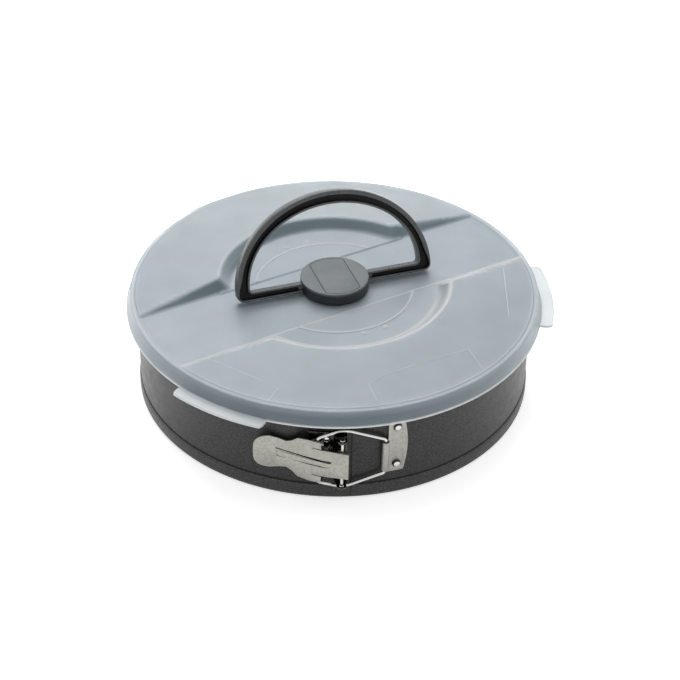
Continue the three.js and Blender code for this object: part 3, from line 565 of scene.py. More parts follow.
# %% [markdown]
# Lid
#
# The lid is a shallow moulding. Two crowned halves rise from the rim towards the middle, with a
# straight channel between them and a round well that the handle folds into. It starts as a spun
# dish with rings of points close together where the form turns. Straight cuts then run along
# the channel's edges, and each point of the top is moved to the height of the form there, with
# corners blended as a mould's are.

# %% Lid form
LID_WALL = 1.8
CHANNEL_BEARING = math.radians(30.5)
CHANNEL_HALF = 29.8
STEP_HALF = 28.2
RING_INNER = 131.8
RING_OUTER = 133.4
RIM_GAP = 0.3
LID_TOP = RIM_TOP + RIM_GAP + LID_WALL
EDGE_DIP = 0.08
CHANNEL_FLOOR = LID_TOP - 0.9
WELL_FLOOR = LID_TOP - 0.4
CROWN_RISE = 5.7
CROWN_RADIUS = 76.5
WALL_SLOPE = math.tan(math.radians(39))
WELL_RADIUS = CROWN_RADIUS - (LID_TOP + CROWN_RISE - WELL_FLOOR) / WALL_SLOPE
EDGE_BLEND = 1.4
CORNER_BLEND = 2
FLOOR_BLEND = 1.6
STEP_RUN = 0.8
STEP_END = 2.5
END_RAMP = 2.5
RIDGE_RADIUS = 52
RIDGE_HALF = 0.9
RIDGE_RISE = 0.3
PIP_RADIUS = 3
PIP_RISE = 0.35
PIP_ORBIT = 56
PIP_BEARINGS = [math.radians(bearing) for bearing in (-54, -70, 126, 110)]


def blend_low(a, b, width):
    """The lower of two heights, with the corner between them rounded over a width."""
    overlap = max(width - abs(a - b), 0) / width
    return min(a, b) - overlap * overlap * width / 4


def blend_high(a, b, width):
    return -blend_low(-a, -b, width)


def eased(share):
    share = min(max(share, 0), 1)
    return share * share * (3 - 2 * share)


def across_channel(x, y):
    return abs(y * math.cos(CHANNEL_BEARING) - x * math.sin(CHANNEL_BEARING))


def crown_rise(radius):
    """Height of the crown over the lid's edge, which falls evenly outwards."""
    return (RING_INNER - radius) * CROWN_RISE / (RING_INNER - CROWN_RADIUS)


def lid_height(x, y):
    """Height of the lid's top inside the rim, in millimetres."""
    radius = math.hypot(x, y)
    away = across_channel(x, y)
    crown = LID_TOP + crown_rise(radius)
    well = WELL_FLOOR + (radius - WELL_RADIUS) * WALL_SLOPE
    channel = CHANNEL_FLOOR + (away - CHANNEL_HALF) * WALL_SLOPE
    raised = blend_low(crown, blend_low(well, channel, CORNER_BLEND), EDGE_BLEND)
    step = eased((away - STEP_HALF) / STEP_RUN) * eased((CROWN_RADIUS - radius) / STEP_END)
    floor = CHANNEL_FLOOR + (WELL_FLOOR - CHANNEL_FLOOR) * step
    floor += (LID_TOP - EDGE_DIP - floor) * eased((radius - RING_INNER + END_RAMP) / END_RAMP)
    height = blend_high(floor, raised, FLOOR_BLEND)
    height += RIDGE_RISE * step * eased(1 - abs(radius - RIDGE_RADIUS) / RIDGE_HALF)
    for bearing in PIP_BEARINGS:
        spot = math.hypot(x - PIP_ORBIT * math.cos(bearing), y - PIP_ORBIT * math.sin(bearing))
        height += PIP_RISE * step * eased(1 - spot / PIP_RADIUS)
    return height


# %% Lid dish
HUB_HOLE = 9.3
SKIRT_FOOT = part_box("lid_shell")[0].z / MM
SKIRT_RADIUS = 137.5
SKIRT_ROUND = 0.2
SKIRT_INNER_ROUND = 0.3
SHOULDER_RADIUS = 134.9
SHOULDER_ROUND = 1.5
EDGE_RUN = 0.7
INNER_ROUND = 0.5
LIP_HEIGHT = 1.1
LIP_SET = 0.35
# Where the skirt's painted shade starts: this far below the top and this far out past the
# shoulder.
SKIRT_DARK = 4.4
SKIRT_DARK_SPLAY = 0.8
LID_STEPS = 320
# Bands of the top: (first radius, last radius, about how far apart the rings of points are).
LID_BANDS = (
    (HUB_HOLE, STEP_HALF - 1, 6), (CHANNEL_HALF + 3, RIDGE_RADIUS - 2, 6),
    (RIDGE_RADIUS - 2, PIP_ORBIT + 3, 0.6), (PIP_ORBIT + 3, WELL_RADIUS - 3, 3.5),
    (WELL_RADIUS - 3, CROWN_RADIUS + 3, 0.8), (CROWN_RADIUS + 3, RING_INNER - END_RAMP, 5),
    (RING_INNER - END_RAMP, RING_INNER, 0.75))


def spread(first, last, step):
    """Even places from first up to, but not with, last."""
    count = max(round(abs(last - first) / step), 1)
    return [first + (last - first) * i / count for i in range(count)]


def lid_outline():
    radii = [radius for first, last, step in LID_BANDS for radius in spread(first, last, step)]
    shoulder = (RING_OUTER, LID_TOP - SHOULDER_ROUND)
    under = LID_TOP - LID_WALL
    top = [(radius, CHANNEL_FLOOR) for radius in radii]
    rim = [(RING_INNER, LID_TOP - EDGE_DIP), (RING_INNER + EDGE_RUN, LID_TOP)]
    rim += arc(shoulder, SHOULDER_ROUND, 90, 5, 6)
    skirt = [(SHOULDER_RADIUS + SKIRT_DARK_SPLAY, LID_TOP - SKIRT_DARK)]
    skirt += [(SKIRT_RADIUS - LIP_SET, SKIRT_FOOT + 2 * LIP_HEIGHT)]
    skirt += [(SKIRT_RADIUS, SKIRT_FOOT + LIP_HEIGHT)]
    foot = [(SKIRT_RADIUS, SKIRT_FOOT + SKIRT_ROUND), (SKIRT_RADIUS - SKIRT_ROUND, SKIRT_FOOT)]
    foot += [(SKIRT_RADIUS - LID_WALL + SKIRT_ROUND, SKIRT_FOOT)]
    foot += [(SKIRT_RADIUS - LID_WALL, SKIRT_FOOT + SKIRT_INNER_ROUND)]
    inside = [(SHOULDER_RADIUS - LID_WALL, under - INNER_ROUND)]
    inside += [(SHOULDER_RADIUS - LID_WALL - INNER_ROUND, under), (RING_INNER, under)]
    bottom = [(radius, CHANNEL_FLOOR - LID_WALL) for radius in reversed(radii)]
    return top + rim + skirt + foot + inside + bottom


lid = turn("lid_shell_fine", lid_outline(), LID_STEPS)
print("lid dish", len(lid.data.polygons), "faces")

# %% Cuts along the channel
STEP_CUTS = (-0.9, 0, 0.4, 0.8)
CHANNEL_CUTS = (-0.5, 0, 0.5, 1, 2)
CREST_CUTS = (-2.4, -1.2, -0.6, 0, 0.6, 1.2, 2.4)


def crest_point(radius, rise):
    """Where the channel's wall meets the crown: (along the channel, away from its middle)."""
    away = CHANNEL_HALF + (LID_TOP + rise - CHANNEL_FLOOR) / WALL_SLOPE
    return math.sqrt(radius ** 2 - away ** 2), away


CREST_START = crest_point(CROWN_RADIUS, CROWN_RISE)
CREST_END = crest_point(RING_INNER, 0)


def slice_lid(point, heading):
    """Add a row of points where an upright plane through point crosses the lid."""
    along = Matrix.Rotation(CHANNEL_BEARING, 3, "Z") @ Vector(heading)
    place = Matrix.Rotation(CHANNEL_BEARING, 3, "Z") @ Vector(point)
    bpy.ops.mesh.select_all(action="SELECT")
    bpy.ops.mesh.bisect(plane_co=place * MM, plane_no=along.cross((0, 0, 1)))


pick(lid)
bpy.ops.object.mode_set(mode="EDIT")
for side in (-1, 1):
    distances = [STEP_HALF + cut for cut in STEP_CUTS]
    distances += [CHANNEL_HALF + cut for cut in CHANNEL_CUTS]
    for distance in distances:
        slice_lid((0, side * distance, 0), (1, 0, 0))
    for end in (-1, 1):
        heading = (end * (CREST_END[0] - CREST_START[0]),
                   side * (CREST_END[1] - CREST_START[1]), 0)
        for offset in CREST_CUTS:
            slice_lid((end * CREST_START[0], side * (CREST_START[1] + offset), 0), heading)
bpy.ops.object.mode_set(mode="OBJECT")
print("lid cut", len(lid.data.polygons), "faces")

# %% Raising the halves
for vertex in lid.data.vertices:
    x, y, z = vertex.co / MM
    if math.hypot(x, y) < RING_INNER - 0.01:
        drop = 0 if z > CHANNEL_FLOOR - LID_WALL / 2 else LID_WALL
        vertex.co.z = (lid_height(x, y) - drop) * MM
smooth(lid, 40)

# %% Painted light and shade of the lid
# Strengths of the painted highlights, painted light by slope and painted shade towards the front.
SHADE_REACH = 0.9
RIM_BAND = 2
SKIRT_SHADE = 0.58
SKIRT_FRONT_SHADE = 0.5
RIM_SHADE = 0.62
RIM_FRONT_SHADE = 0.14
FAINT = 0.35
CREST_GAIN = 2.2
SLOPE_GAIN = 0.55
SLOPE_LIGHT_MOST = 0.12
SLOPE_SPAN = 0.5
TILT_GAIN = 1.1
TILT_MOST = 0.12


def lid_painted_shade(spot):
    """Painted highlights on crests and on slopes facing the lamp at the back, painted shade in
    corners.

    Painted shade on the rim and skirt deepens towards the front; the skirt's lip is a painted
    highlight.
    """
    x, y, z = spot
    if math.hypot(x, y) > RING_INNER:
        if z < SKIRT_FOOT + LIP_HEIGHT + TOUCH:
            return 1
        forward = max(-y / math.hypot(x, y), 0) ** 2
        if z > LID_TOP - RIM_BAND:
            return RIM_SHADE - RIM_FRONT_SHADE * forward
        return SKIRT_SHADE - SKIRT_FRONT_SHADE * forward
    near = SHADE_REACH
    middle = lid_height(x, y)
    if z < middle - LID_WALL / 2:
        return plain(spot)
    around = [lid_height(x + near, y), lid_height(x - near, y),
              lid_height(x, y + near), lid_height(x, y - near)]
    crest = (4 * middle - sum(around)) / near ** 2
    slope = (around[2] - around[3]) / (2 * near)
    radius = math.hypot(x, y)
    in_floor = across_channel(x, y) < CHANNEL_HALF - 1
    if in_floor and radius > RING_INNER - END_RAMP - near:
        crest = 0
    else:
        lit = eased(0.5 - slope / SLOPE_SPAN)
        crest = lit * abs(crest) + (1 - lit) * min(crest, 0) / 2
    if (y > 0 and radius < PIP_ORBIT + PIP_RADIUS + near) or radius > CROWN_RADIUS + EDGE_BLEND:
        crest = FAINT * crest
    tilt = min(max(slope, -TILT_MOST), TILT_MOST)
    lean = min(-SLOPE_GAIN * slope, SLOPE_LIGHT_MOST)
    return plain(spot) + CREST_GAIN * crest + lean - TILT_GAIN * tilt


# The lid's top, rim and skirt take painted highlights and painted shade.
shade_points(lid, lid_painted_shade)

# %% [markdown]
# Hairlines
#
# The mould leaves a few fine raised lines on the lid. Each is a thin bead along points that lie
# on the form, half sunk into it. Two paler beads along the front crest of the channel are a
# painted highlight, where the crest catches the light.

# %% Hairlines
HAIRLINE_RADIUS = 0.2
HAIRLINE_SHADE = 0.62
HAIRLINE_STEP = 3
CHORD_DISTANCE = 113.6
CHORD_HALF = 22.5
CHORD_BEARING = math.radians(-122)
# Points, start, shortening and shade of the painted highlight beads along the channel's front
# crest.
EDGE_POINTS = 16
EDGE_START = CROWN_RADIUS + 2
EDGE_SHORT = 0.1
EDGE_HIGHLIGHT_SHADE = 0.85


def chord(distance, half, bearing):
    """The two ends of a straight line square to a bearing."""
    across, up = math.cos(bearing), math.sin(bearing)
    return [(distance * across - side * half * up, distance * up + side * half * across)
            for side in (-1, 1)]


def channel_edge(end):
    """The front crest of the channel, from the well's corner to the rim."""
    points = []
    for i in range(EDGE_POINTS + 1):
        share = i / EDGE_POINTS
        radius = EDGE_START + (RING_INNER - EDGE_START) * share - EDGE_SHORT
        along, away = crest_point(radius, crown_rise(radius))
        spot = Matrix.Rotation(CHANNEL_BEARING, 3, "Z") @ Vector((end * along, -away, 0))
        points.append((spot.x, spot.y))
    return points


HAIRLINES = {
    "front_chord": chord(CHORD_DISTANCE, CHORD_HALF, CHORD_BEARING),
    "right_chord": [(113, 22), (113, -33)],
    "label_frame": [(33, -140), (22, -109), (30, -101), (85, -71), (95, -93)],
    "front_tick": [(-33, -113), (-41, -128)],
    "channel_edge_left": channel_edge(-1),
    "channel_edge_right": channel_edge(1),
}


def hairline(name, corners):
    """A thin bead through corners, as far as they lie inside the rim."""
    points = []
    for (x, y), (to_x, to_y) in zip(corners, corners[1:]):
        count = max(round(math.hypot(to_x - x, to_y - y) / HAIRLINE_STEP), 1)
        points += [(x + (to_x - x) * i / count, y + (to_y - y) * i / count) for i in range(count)]
    points = [(x, y) for x, y in points + corners[-1:] if math.hypot(x, y) < RING_INNER]
    line = draw_line("lid_line_" + name, [(x, y, lid_height(x, y)) for x, y in points])
    bpy.ops.object.convert(target="CURVE")
    line.data.bevel_depth = HAIRLINE_RADIUS * MM
    line.data.bevel_resolution = 1
    line.data.use_fill_caps = True
    bpy.ops.object.convert(target="MESH")
    # The channel's edge beads take the lighter shade of a painted highlight.
    shade = EDGE_HIGHLIGHT_SHADE if "edge" in name else HAIRLINE_SHADE
    shade_points(painted(smooth(line, 60), frosted_edge), lambda spot: shade)
    return stands_for(line, "lid", "frosted_plastic")


for name, corners in HAIRLINES.items():
    hairline(name, corners)

# %% [markdown]
# Finger tabs
#
# Three flat tabs stand out from the foot of the skirt: on the right, at the back on the left,
# and in front on the left. Each is a short spun strip whose outer corners are rounded.

# %% Finger tabs
# Each tab: (bearing of its middle, half its angle, radius of its outer edge).
TABS = ((2.4, 14.4, 145.5), (122.5, 13.3, 146.8), (-120.1, 13.3, 145.5))
TAB_THICK = 1.7
TAB_CORNER = 7.5
TAB_SHADE = 0.68


def finger_tab(number, bearing, half_angle, reach):
    inner = SKIRT_RADIUS - LID_WALL / 2
    outline = [(inner, SKIRT_FOOT), (reach, SKIRT_FOOT)]
    outline += [(reach, SKIRT_FOOT + TAB_THICK), (inner, SKIRT_FOOT + TAB_THICK)]
    tab = turn(f"lid_tab_{number}", outline, 24, bearing - half_angle, 2 * half_angle)

    def outer_corner(a, b):
        upright = abs(a.z - b.z) > TAB_THICK / 2
        turned = math.atan2(a.y, a.x) - math.radians(bearing)
        off = abs(math.degrees(math.atan2(math.sin(turned), math.cos(turned))))
        outer = math.hypot(a.x, a.y) > reach - TOUCH
        return upright and outer and off > half_angle - TOUCH

    bevel_edges(tab, outer_corner, TAB_CORNER, 8)
    return soften(tab, 0.4, 2, 60)


tabs = [finger_tab(number + 1, *place) for number, place in enumerate(TABS)]
for tab in tabs:
    # The tabs' upright sides take the lighter edge finish, a painted highlight.
    shade_points(painted(tab, frosted_tab, frosted_edge), lambda spot: TAB_SHADE)
    second_finish(tab, lambda face: abs(face.normal.z) < 0.9)
    stands_for(tab, "lid", "frosted_plastic")
# The skirt's lip takes the lighter edge finish, a painted highlight.
painted(lid, frosted, frosted_edge)
second_finish(lid, lambda face: face.center.z < (SKIRT_FOOT + LIP_HEIGHT) * MM)
stands_for(lid, "lid", "frosted_plastic", "lid_shell")

# %% [markdown]
# Hub
#
# The hub is a low drum. A dark base holds the handle's rod in a slot, and a lighter cap closes
# it. A bare panel lies in a pocket of the cap. The drum and cap are spun, and the slot, the
# pocket and the panel are cut with shapes that share their sizes.

# %% Hub drum and cap
hub_low, hub_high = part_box("hub_cap")
HUB_RADIUS = 22.6
HUB_TOP = hub_high.z / MM
CAP_LOW = hub_low.z / MM
CAP_ROUND = 0.6
DRUM_GAP = 0.3
DRUM_FOOT = CHANNEL_FLOOR + DRUM_GAP
DRUM_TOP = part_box("hub_base")[1].z / MM
SHANK_RADIUS = 9
SHANK_FOOT = DRUM_FOOT - LID_WALL - DRUM_GAP
SLOT_GAP = 0.3
ROD_RADIUS = 2.4
AXLE_HEIGHT = joints["handle_fold"]["pos_m"][2] / MM
rod_axis = Vector(joints["handle_fold"]["axis"]).normalized()
HUB_BEARING = math.atan2(rod_axis.y, rod_axis.x)
hub_turned = Matrix.Rotation(HUB_BEARING, 4, "Z")


def panel_tool(name, radius, half, low, high):
    """A round block with two straight sides, square to the rod."""
    nothing_selected()
    middle = (0, 0, (low + high) / 2 * MM)
    bpy.ops.mesh.primitive_cylinder_add(
        vertices=96, radius=radius * MM, depth=(high - low) * MM, location=middle)
    piece = named(name)
    bpy.ops.object.transform_apply()
    bpy.ops.object.mode_set(mode="EDIT")
    for side in (-1, 1):
        bpy.ops.mesh.select_all(action="SELECT")
        bpy.ops.mesh.bisect(plane_co=(side * half * MM, 0, 0), plane_no=(side, 0, 0),
                            use_fill=True, clear_outer=True)
    bpy.ops.object.mode_set(mode="OBJECT")
    piece.data.transform(hub_turned)
    return piece


PANEL_HALF = 12
PANEL_REACH = 21
PANEL_DEPTH = 0.8
PANEL_GAP = 0.3
PANEL_LIFT = 0.1
HUB_STEPS = 128
cap_edge = (HUB_RADIUS - CAP_ROUND, HUB_TOP - CAP_ROUND)
cap_outline = [(0, CAP_LOW), (HUB_RADIUS, CAP_LOW)]
cap_outline += arc(cap_edge, CAP_ROUND, 0, 90, 5) + [(0, HUB_TOP)]
cap = turn("hub_cap_fine", cap_outline, HUB_STEPS)
pocket_floor = HUB_TOP - PANEL_DEPTH
cut(cap, panel_tool("pocket", PANEL_REACH, PANEL_HALF, pocket_floor, HUB_TOP + 1))
soften(cap, 0.12, 2, 50)
panel = panel_tool("hub_panel_fine", PANEL_REACH - PANEL_GAP, PANEL_HALF - PANEL_GAP,
                   pocket_floor + PANEL_LIFT, HUB_TOP)
soften(panel, 0.15, 2, 50)
for piece, node in ((cap, "hub_cap"), (panel, "hub_panel")):
    painted(piece, hub_grey)
    stands_for(piece, "hub", "grey_plastic", node)

# %% Drum with the rod's slot
# Rounded edges of the drum: (in from the hub's radius, up from its foot or down from its top).
FOOT_EDGE = ((0.7, 0), (0.1, 0.5), (0, 1.2))
TOP_EDGE = ((0, 0.2), (0.2, 0))
drum_outline = [(0, SHANK_FOOT), (SHANK_RADIUS, SHANK_FOOT), (SHANK_RADIUS, DRUM_FOOT)]
drum_outline += [(HUB_RADIUS - inward, DRUM_FOOT + above) for inward, above in FOOT_EDGE]
drum_outline += [(HUB_RADIUS - inward, DRUM_TOP - below) for inward, below in TOP_EDGE]
drum_outline += [(0, DRUM_TOP)]
drum = turn("hub_base_fine", drum_outline, HUB_STEPS)
nothing_selected()
bpy.ops.mesh.primitive_cylinder_add(
    vertices=32, radius=(ROD_RADIUS + SLOT_GAP) * MM, depth=3 * HUB_RADIUS * MM,
    rotation=(0, math.pi / 2, 0), location=(0, 0, AXLE_HEIGHT * MM))
slot_tool = named("slot_tool")
bpy.ops.object.transform_apply()
for vertex in slot_tool.data.vertices:
    if vertex.co.z > AXLE_HEIGHT * MM:
        vertex.co.z += (DRUM_TOP - AXLE_HEIGHT) * MM
slot_tool.data.transform(hub_turned)
cut(drum, slot_tool)
soften(drum, 0.25, 2, 50)
painted(drum, drum_dark)
stands_for(drum, "hub", "dark_plastic", "hub_base")

# %% [markdown]
# Handle
#
# The handle is a flat D with a groove round its front, as a core in the mould leaves it. Its
# outer and inner outlines are drawn with as many points each and bridged, so the faces run
# across the grip. The strip is extruded to its thickness, and an inset sunk into its front makes
# the groove. A round rod crosses the hub.

# %% Handle outline
HALF_SPAN = 67.2
REACH = 61.8
GRIP_WIDTH = 8.8
BAR_HALF = 2.9
HANDLE_THICK = 6.4
CORNER = 4.5
GROOVE_LIP = 1.3
GROOVE_DEPTH = 4
LEAN = math.radians(18)
BAR_GAP = 0.3
BAR_END = HUB_RADIUS + BAR_GAP
ARCH_STEPS = 96


def d_line(name, half_span, reach, base, corner):
    """The line of one side of the grip: along the bar, round the arch and back to the bar."""
    centre = base + corner
    arch = arc((0, 0), 1, 0, 180, ARCH_STEPS)
    points = [(BAR_END - GROOVE_LIP, base), ((BAR_END + half_span - corner) / 2, base)]
    points += arc((half_span - corner, centre), corner, -90, 0, 8)[:-1]
    points += [(half_span * x, centre + (reach - centre) * y) for x, y in arch]
    points += arc((corner - half_span, centre), corner, 180, 270, 8)[1:]
    points += [(-x, y) for x, y in reversed(points[:2])]
    return draw_line(name, [(x, y, -HANDLE_THICK / 2) for x, y in points])


inner_line = d_line("grip_inner", HALF_SPAN - GRIP_WIDTH, REACH - GRIP_WIDTH, BAR_HALF, CORNER / 2)
handle = d_line("carry_handle_fine", HALF_SPAN, REACH, -BAR_HALF, CORNER)
inner_line.select_set(True)
bpy.ops.object.join()
bpy.ops.object.mode_set(mode="EDIT")
bpy.ops.mesh.select_all(action="SELECT")
bpy.ops.mesh.bridge_edge_loops()
bpy.ops.mesh.select_all(action="SELECT")
bpy.ops.mesh.extrude_region_move(TRANSFORM_OT_translate={"value": (0, 0, HANDLE_THICK * MM)})
bpy.ops.mesh.inset(thickness=GROOVE_LIP * MM, use_boundary=True, use_even_offset=True)
bpy.ops.mesh.extrude_region_move(TRANSFORM_OT_translate={"value": (0, 0, -GROOVE_DEPTH * MM)})
bpy.ops.mesh.select_all(action="SELECT")
bpy.ops.mesh.normals_make_consistent(inside=False)
bpy.ops.object.mode_set(mode="OBJECT")
print("handle", len(handle.data.polygons), "faces")

# %% Wider outer lip
GROOVE_SHIFT = 1.9
SHIFT_RUN = 12
RIM_ROUND = 1.1
ARCH_OUTER = 0.99
GROOVE_OUTER = 0.965
arch_base = CORNER - BAR_HALF


def arch_share(x, y):
    """1 on the outer line of the arch and less inside it."""
    return math.hypot(x / HALF_SPAN, (y - arch_base) / (REACH - arch_base))


def on_outer_line(x, y):
    """On the arch or on one of the round lower corners, but not on the bar."""
    if y > arch_base:
        return arch_share(x, y) > ARCH_OUTER
    beyond = abs(x) - (HALF_SPAN - CORNER)
    return beyond > -TOUCH and math.hypot(beyond, y - arch_base) > CORNER - 2 * TOUCH


def on_rim(*ends):
    """The front edge of the outer line."""
    front = HANDLE_THICK / 2 - TOUCH
    return all(end.z > front and on_outer_line(end.x, end.y) for end in ends)


for vertex in handle.data.vertices:
    x, y, z = vertex.co / MM
    if y > arch_base and GROOVE_OUTER < arch_share(x, y) < ARCH_OUTER:
        shrink = 1 - GROOVE_SHIFT / HALF_SPAN * eased((y - arch_base) / SHIFT_RUN)
        vertex.co.x = x * shrink * MM
        vertex.co.y = (arch_base + (y - arch_base) * shrink) * MM
bevel_edges(handle, on_rim, RIM_ROUND, 4)

# %% Bar ends
BAR_INNER_END = HALF_SPAN - GRIP_WIDTH - CORNER
for side in (-1, 1):
    pick(handle)
    bpy.ops.object.mode_set(mode="EDIT")
    bpy.ops.mesh.select_mode(type="FACE")
    bpy.ops.mesh.select_all(action="DESELECT")
    bpy.ops.object.mode_set(mode="OBJECT")
    for face in handle.data.polygons:
        x, y, z = face.center / MM
        face.select = abs(y) < BAR_HALF + 2 * TOUCH and 0 < side * x < BAR_INNER_END
    bpy.ops.object.mode_set(mode="EDIT")
    bpy.ops.mesh.bisect(plane_co=(side * BAR_END * MM, 0, 0), plane_no=(-side, 0, 0),
                        use_fill=True, clear_outer=True)
    bpy.ops.mesh.select_all(action="SELECT")
    bpy.ops.mesh.normals_make_consistent(inside=False)
    bpy.ops.mesh.select_mode(type="VERT")
    bpy.ops.object.mode_set(mode="OBJECT")
soften(handle, 0.5, 3, 40)

# %% Rod and place
ROD_HALF = HUB_RADIUS + 3
FLOOR_REACH = 0.6
nothing_selected()
bpy.ops.mesh.primitive_cylinder_add(
    vertices=48, radius=ROD_RADIUS * MM, depth=2 * ROD_HALF * MM, rotation=(0, math.pi / 2, 0))
rod = named("handle_rod_fine")
bpy.ops.object.transform_apply()
soften(rod, 0.3, 2, 50)
stand_up = Matrix.Translation((0, 0, AXLE_HEIGHT * MM)) @ hub_turned @ Matrix.Rotation(
    math.pi / 2 - LEAN, 4, "X")
# The handle's groove floor takes a near-black painted shade.
painted(handle, charcoal, groove_painted_shade)
groove_floor = (HANDLE_THICK / 2 - GROOVE_DEPTH) * MM
second_finish(handle, lambda face: any(
    abs(handle.data.vertices[i].co.z - groove_floor) < FLOOR_REACH * MM for i in face.vertices))
painted(rod, charcoal)
for piece in (handle, rod):
    piece.data.transform(stand_up)
stands_for(handle, "handle", "dark_plastic", "carry_handle")
stands_for(rod, "handle", "dark_plastic")

# %% [markdown]
# Latch
#
# The lever, bracket and catch plate are pressed sheet, and the frame has their outlines. A copy
# of each is merged, and its edges get the small rounding that tumbling gives. The wire is drawn
# again as a line with rounded bends, and given its thickness as a curve.

# %% Slit and pressed line of the lever
# Points of the slit (x, y, height, width) and of the line pressed below it (x, height).
SLIT = ((-34.8, -129, 38.8, 0.7), (-27.9, -130.9, 37.9, 0.8), (-19.4, -134.5, 37.7, 1),
        (-10.1, -138.2, 37.5, 1.3), (-0.2, -140.9, 37.1, 1.6))
PRESSED_LINE = ((-34, 33.4), (-26.4, 32.7), (-0.5, 32.4))
SLIT_REACH = 3
CUT_REACH = 1.1
CUT_TILT = 0.6
GRIP_CENTRE = (-38.5, 35.5)
GRIP_POWER = 2.8


def slit_tool():
    """A blade along the slit, as high at each point as the slit is wide there."""
    upper = [(x, y - SLIT_REACH, z + width / 2) for x, y, z, width in SLIT]
    lower = [(x, y - SLIT_REACH, z - width / 2) for x, y, z, width in reversed(SLIT)]
    tool = draw_line("slit_tool", upper + lower + upper[:1])
    bpy.ops.object.mode_set(mode="EDIT")
    bpy.ops.mesh.select_all(action="SELECT")
    bpy.ops.mesh.remove_doubles(threshold=MM / 100)
    bpy.ops.mesh.edge_face_add()
    bpy.ops.mesh.extrude_region_move(TRANSFORM_OT_translate={"value": (0, 2 * SLIT_REACH * MM, 0)})
    bpy.ops.mesh.select_all(action="SELECT")
    bpy.ops.mesh.normals_make_consistent(inside=False)
    bpy.ops.object.mode_set(mode="OBJECT")
    return tool


def square_grip(plate):
    """Fill out the round grip a little towards its corners."""
    for vertex in plate.data.vertices:
        u = GRIP_CENTRE[0] - vertex.co.x / MM
        v = vertex.co.z / MM - GRIP_CENTRE[1]
        if u > 0:
            share = math.hypot(u, v) / (u ** GRIP_POWER + abs(v) ** GRIP_POWER) ** (1 / GRIP_POWER)
            vertex.co.x = (GRIP_CENTRE[0] - u * share) * MM
            vertex.co.z = (GRIP_CENTRE[1] + v * share) * MM


def line_height(line, x):
    """Height of a line of points at x, and out of reach beyond its ends."""
    for (x0, z0), (x1, z1) in zip(line, line[1:]):
        if x0 <= x <= x1:
            return z0 + (z1 - z0) * (x - x0) / (x1 - x0)
    return math.inf


def cut_face(face):
    """The upright walls of the slit and of the pressed rib's lower edge, in painted shade."""
    x, y, z = face.center / MM
    slit_off = abs(z - line_height([(x, z) for x, _, z, _ in SLIT], x))
    line_off = abs(z - line_height(PRESSED_LINE, x))
    return abs(face.normal.z) > CUT_TILT and min(slit_off, line_off) < CUT_REACH


def pierce_lever(plate):
    cut(plate, slit_tool())
    square_grip(plate)
    return smooth(plate)


# %% Pressed pieces
NARROW = 0.12


def longest_edge(face):
    corners = [face.id_data.vertices[i].co for i in face.vertices]
    return max((a - b).length for a, b in zip(corners, corners[1:] + corners[:1]))


def narrow_face(face):
    """The faces of the rounded edges, which take a painted highlight."""
    return face.area < NARROW * MM * max(longest_edge(face), MM)


# The bracket's dark finish and the dark walls of the lever's slit and pressed line are painted
# shade.
for node, body, finish, second, belongs in (
        ("latch_lever", "lever", nickel, shade_painted_nickel, cut_face),
        ("lever_bracket", "pan", shade_painted_nickel, bright_steel, narrow_face),
        ("catch_plate", "pan", nickel, bright_steel, narrow_face)):
    plate = fine_copy(node, 0.16)
    if node == "latch_lever":
        pierce_lever(plate)
    painted(plate, finish, second)
    # Second finishes: painted shade in the lever's slit, a painted highlight on bracket and catch
    # edges.
    second_finish(plate, belongs)
    stands_for(plate, body, "nickel_steel", node)

# %% Bail wire
WIRE_RADIUS = 1.1
BAIL_JOINT = Vector(joints["bail_swing"]["pos_m"]) / MM
PIVOT = Vector(joints["lever_swing"]["pos_m"]) / MM
EAR_PLACE = -8.5
EAR_OUT = 5.7
EAR = Vector((EAR_PLACE, -(WALL_RADIUS + EAR_OUT), PIVOT.z))
# Points of the wire: (share of the way from the lever's ears to the knuckle, half its height).
BAIL_SHARES = ((0, 13.4), (0, 17.3), (0.3, 21.6), (0.456, 21.6), (1, 13.2))
BEND = 1.8


def bail_points():
    """The upper half of the wire, and the lower half as its mirror image."""
    upper = []
    for share, half in BAIL_SHARES:
        middle = EAR.lerp(BAIL_JOINT, share)
        upper.append((middle.x, middle.y, middle.z + half))
    lower = [(x, y, 2 * EAR.lerp(BAIL_JOINT, share).z - z)
             for (x, y, z), (share, half) in zip(upper, BAIL_SHARES)]
    return upper + lower[::-1]


bail = draw_line("tension_bail_fine", bail_points())
bpy.ops.object.mode_set(mode="EDIT")
bpy.ops.mesh.select_all(action="SELECT")
bpy.ops.mesh.bevel(offset=BEND * MM, segments=6, affect="VERTICES")
bpy.ops.object.mode_set(mode="OBJECT")
bpy.ops.object.convert(target="CURVE")
bail.data.bevel_depth = WIRE_RADIUS * MM
bail.data.bevel_resolution = 6
bail.data.use_fill_caps = True
bpy.ops.object.convert(target="MESH")
smooth(bail)
painted(bail, bright_steel)
stands_for(bail, "bail", "nickel_steel", "tension_bail")

# %% Rivets and pin
RIVET_HEAD = 2.75
RIVET_RISE = 1.3
RIVET_SHANK = 1.9
RIVET_TAIL = 2.7
TAIL_DEPTH = 4
TAIL_THICK = 0.7
HEAD_STEPS = 8
HEAD_BRIGHT = 0.88


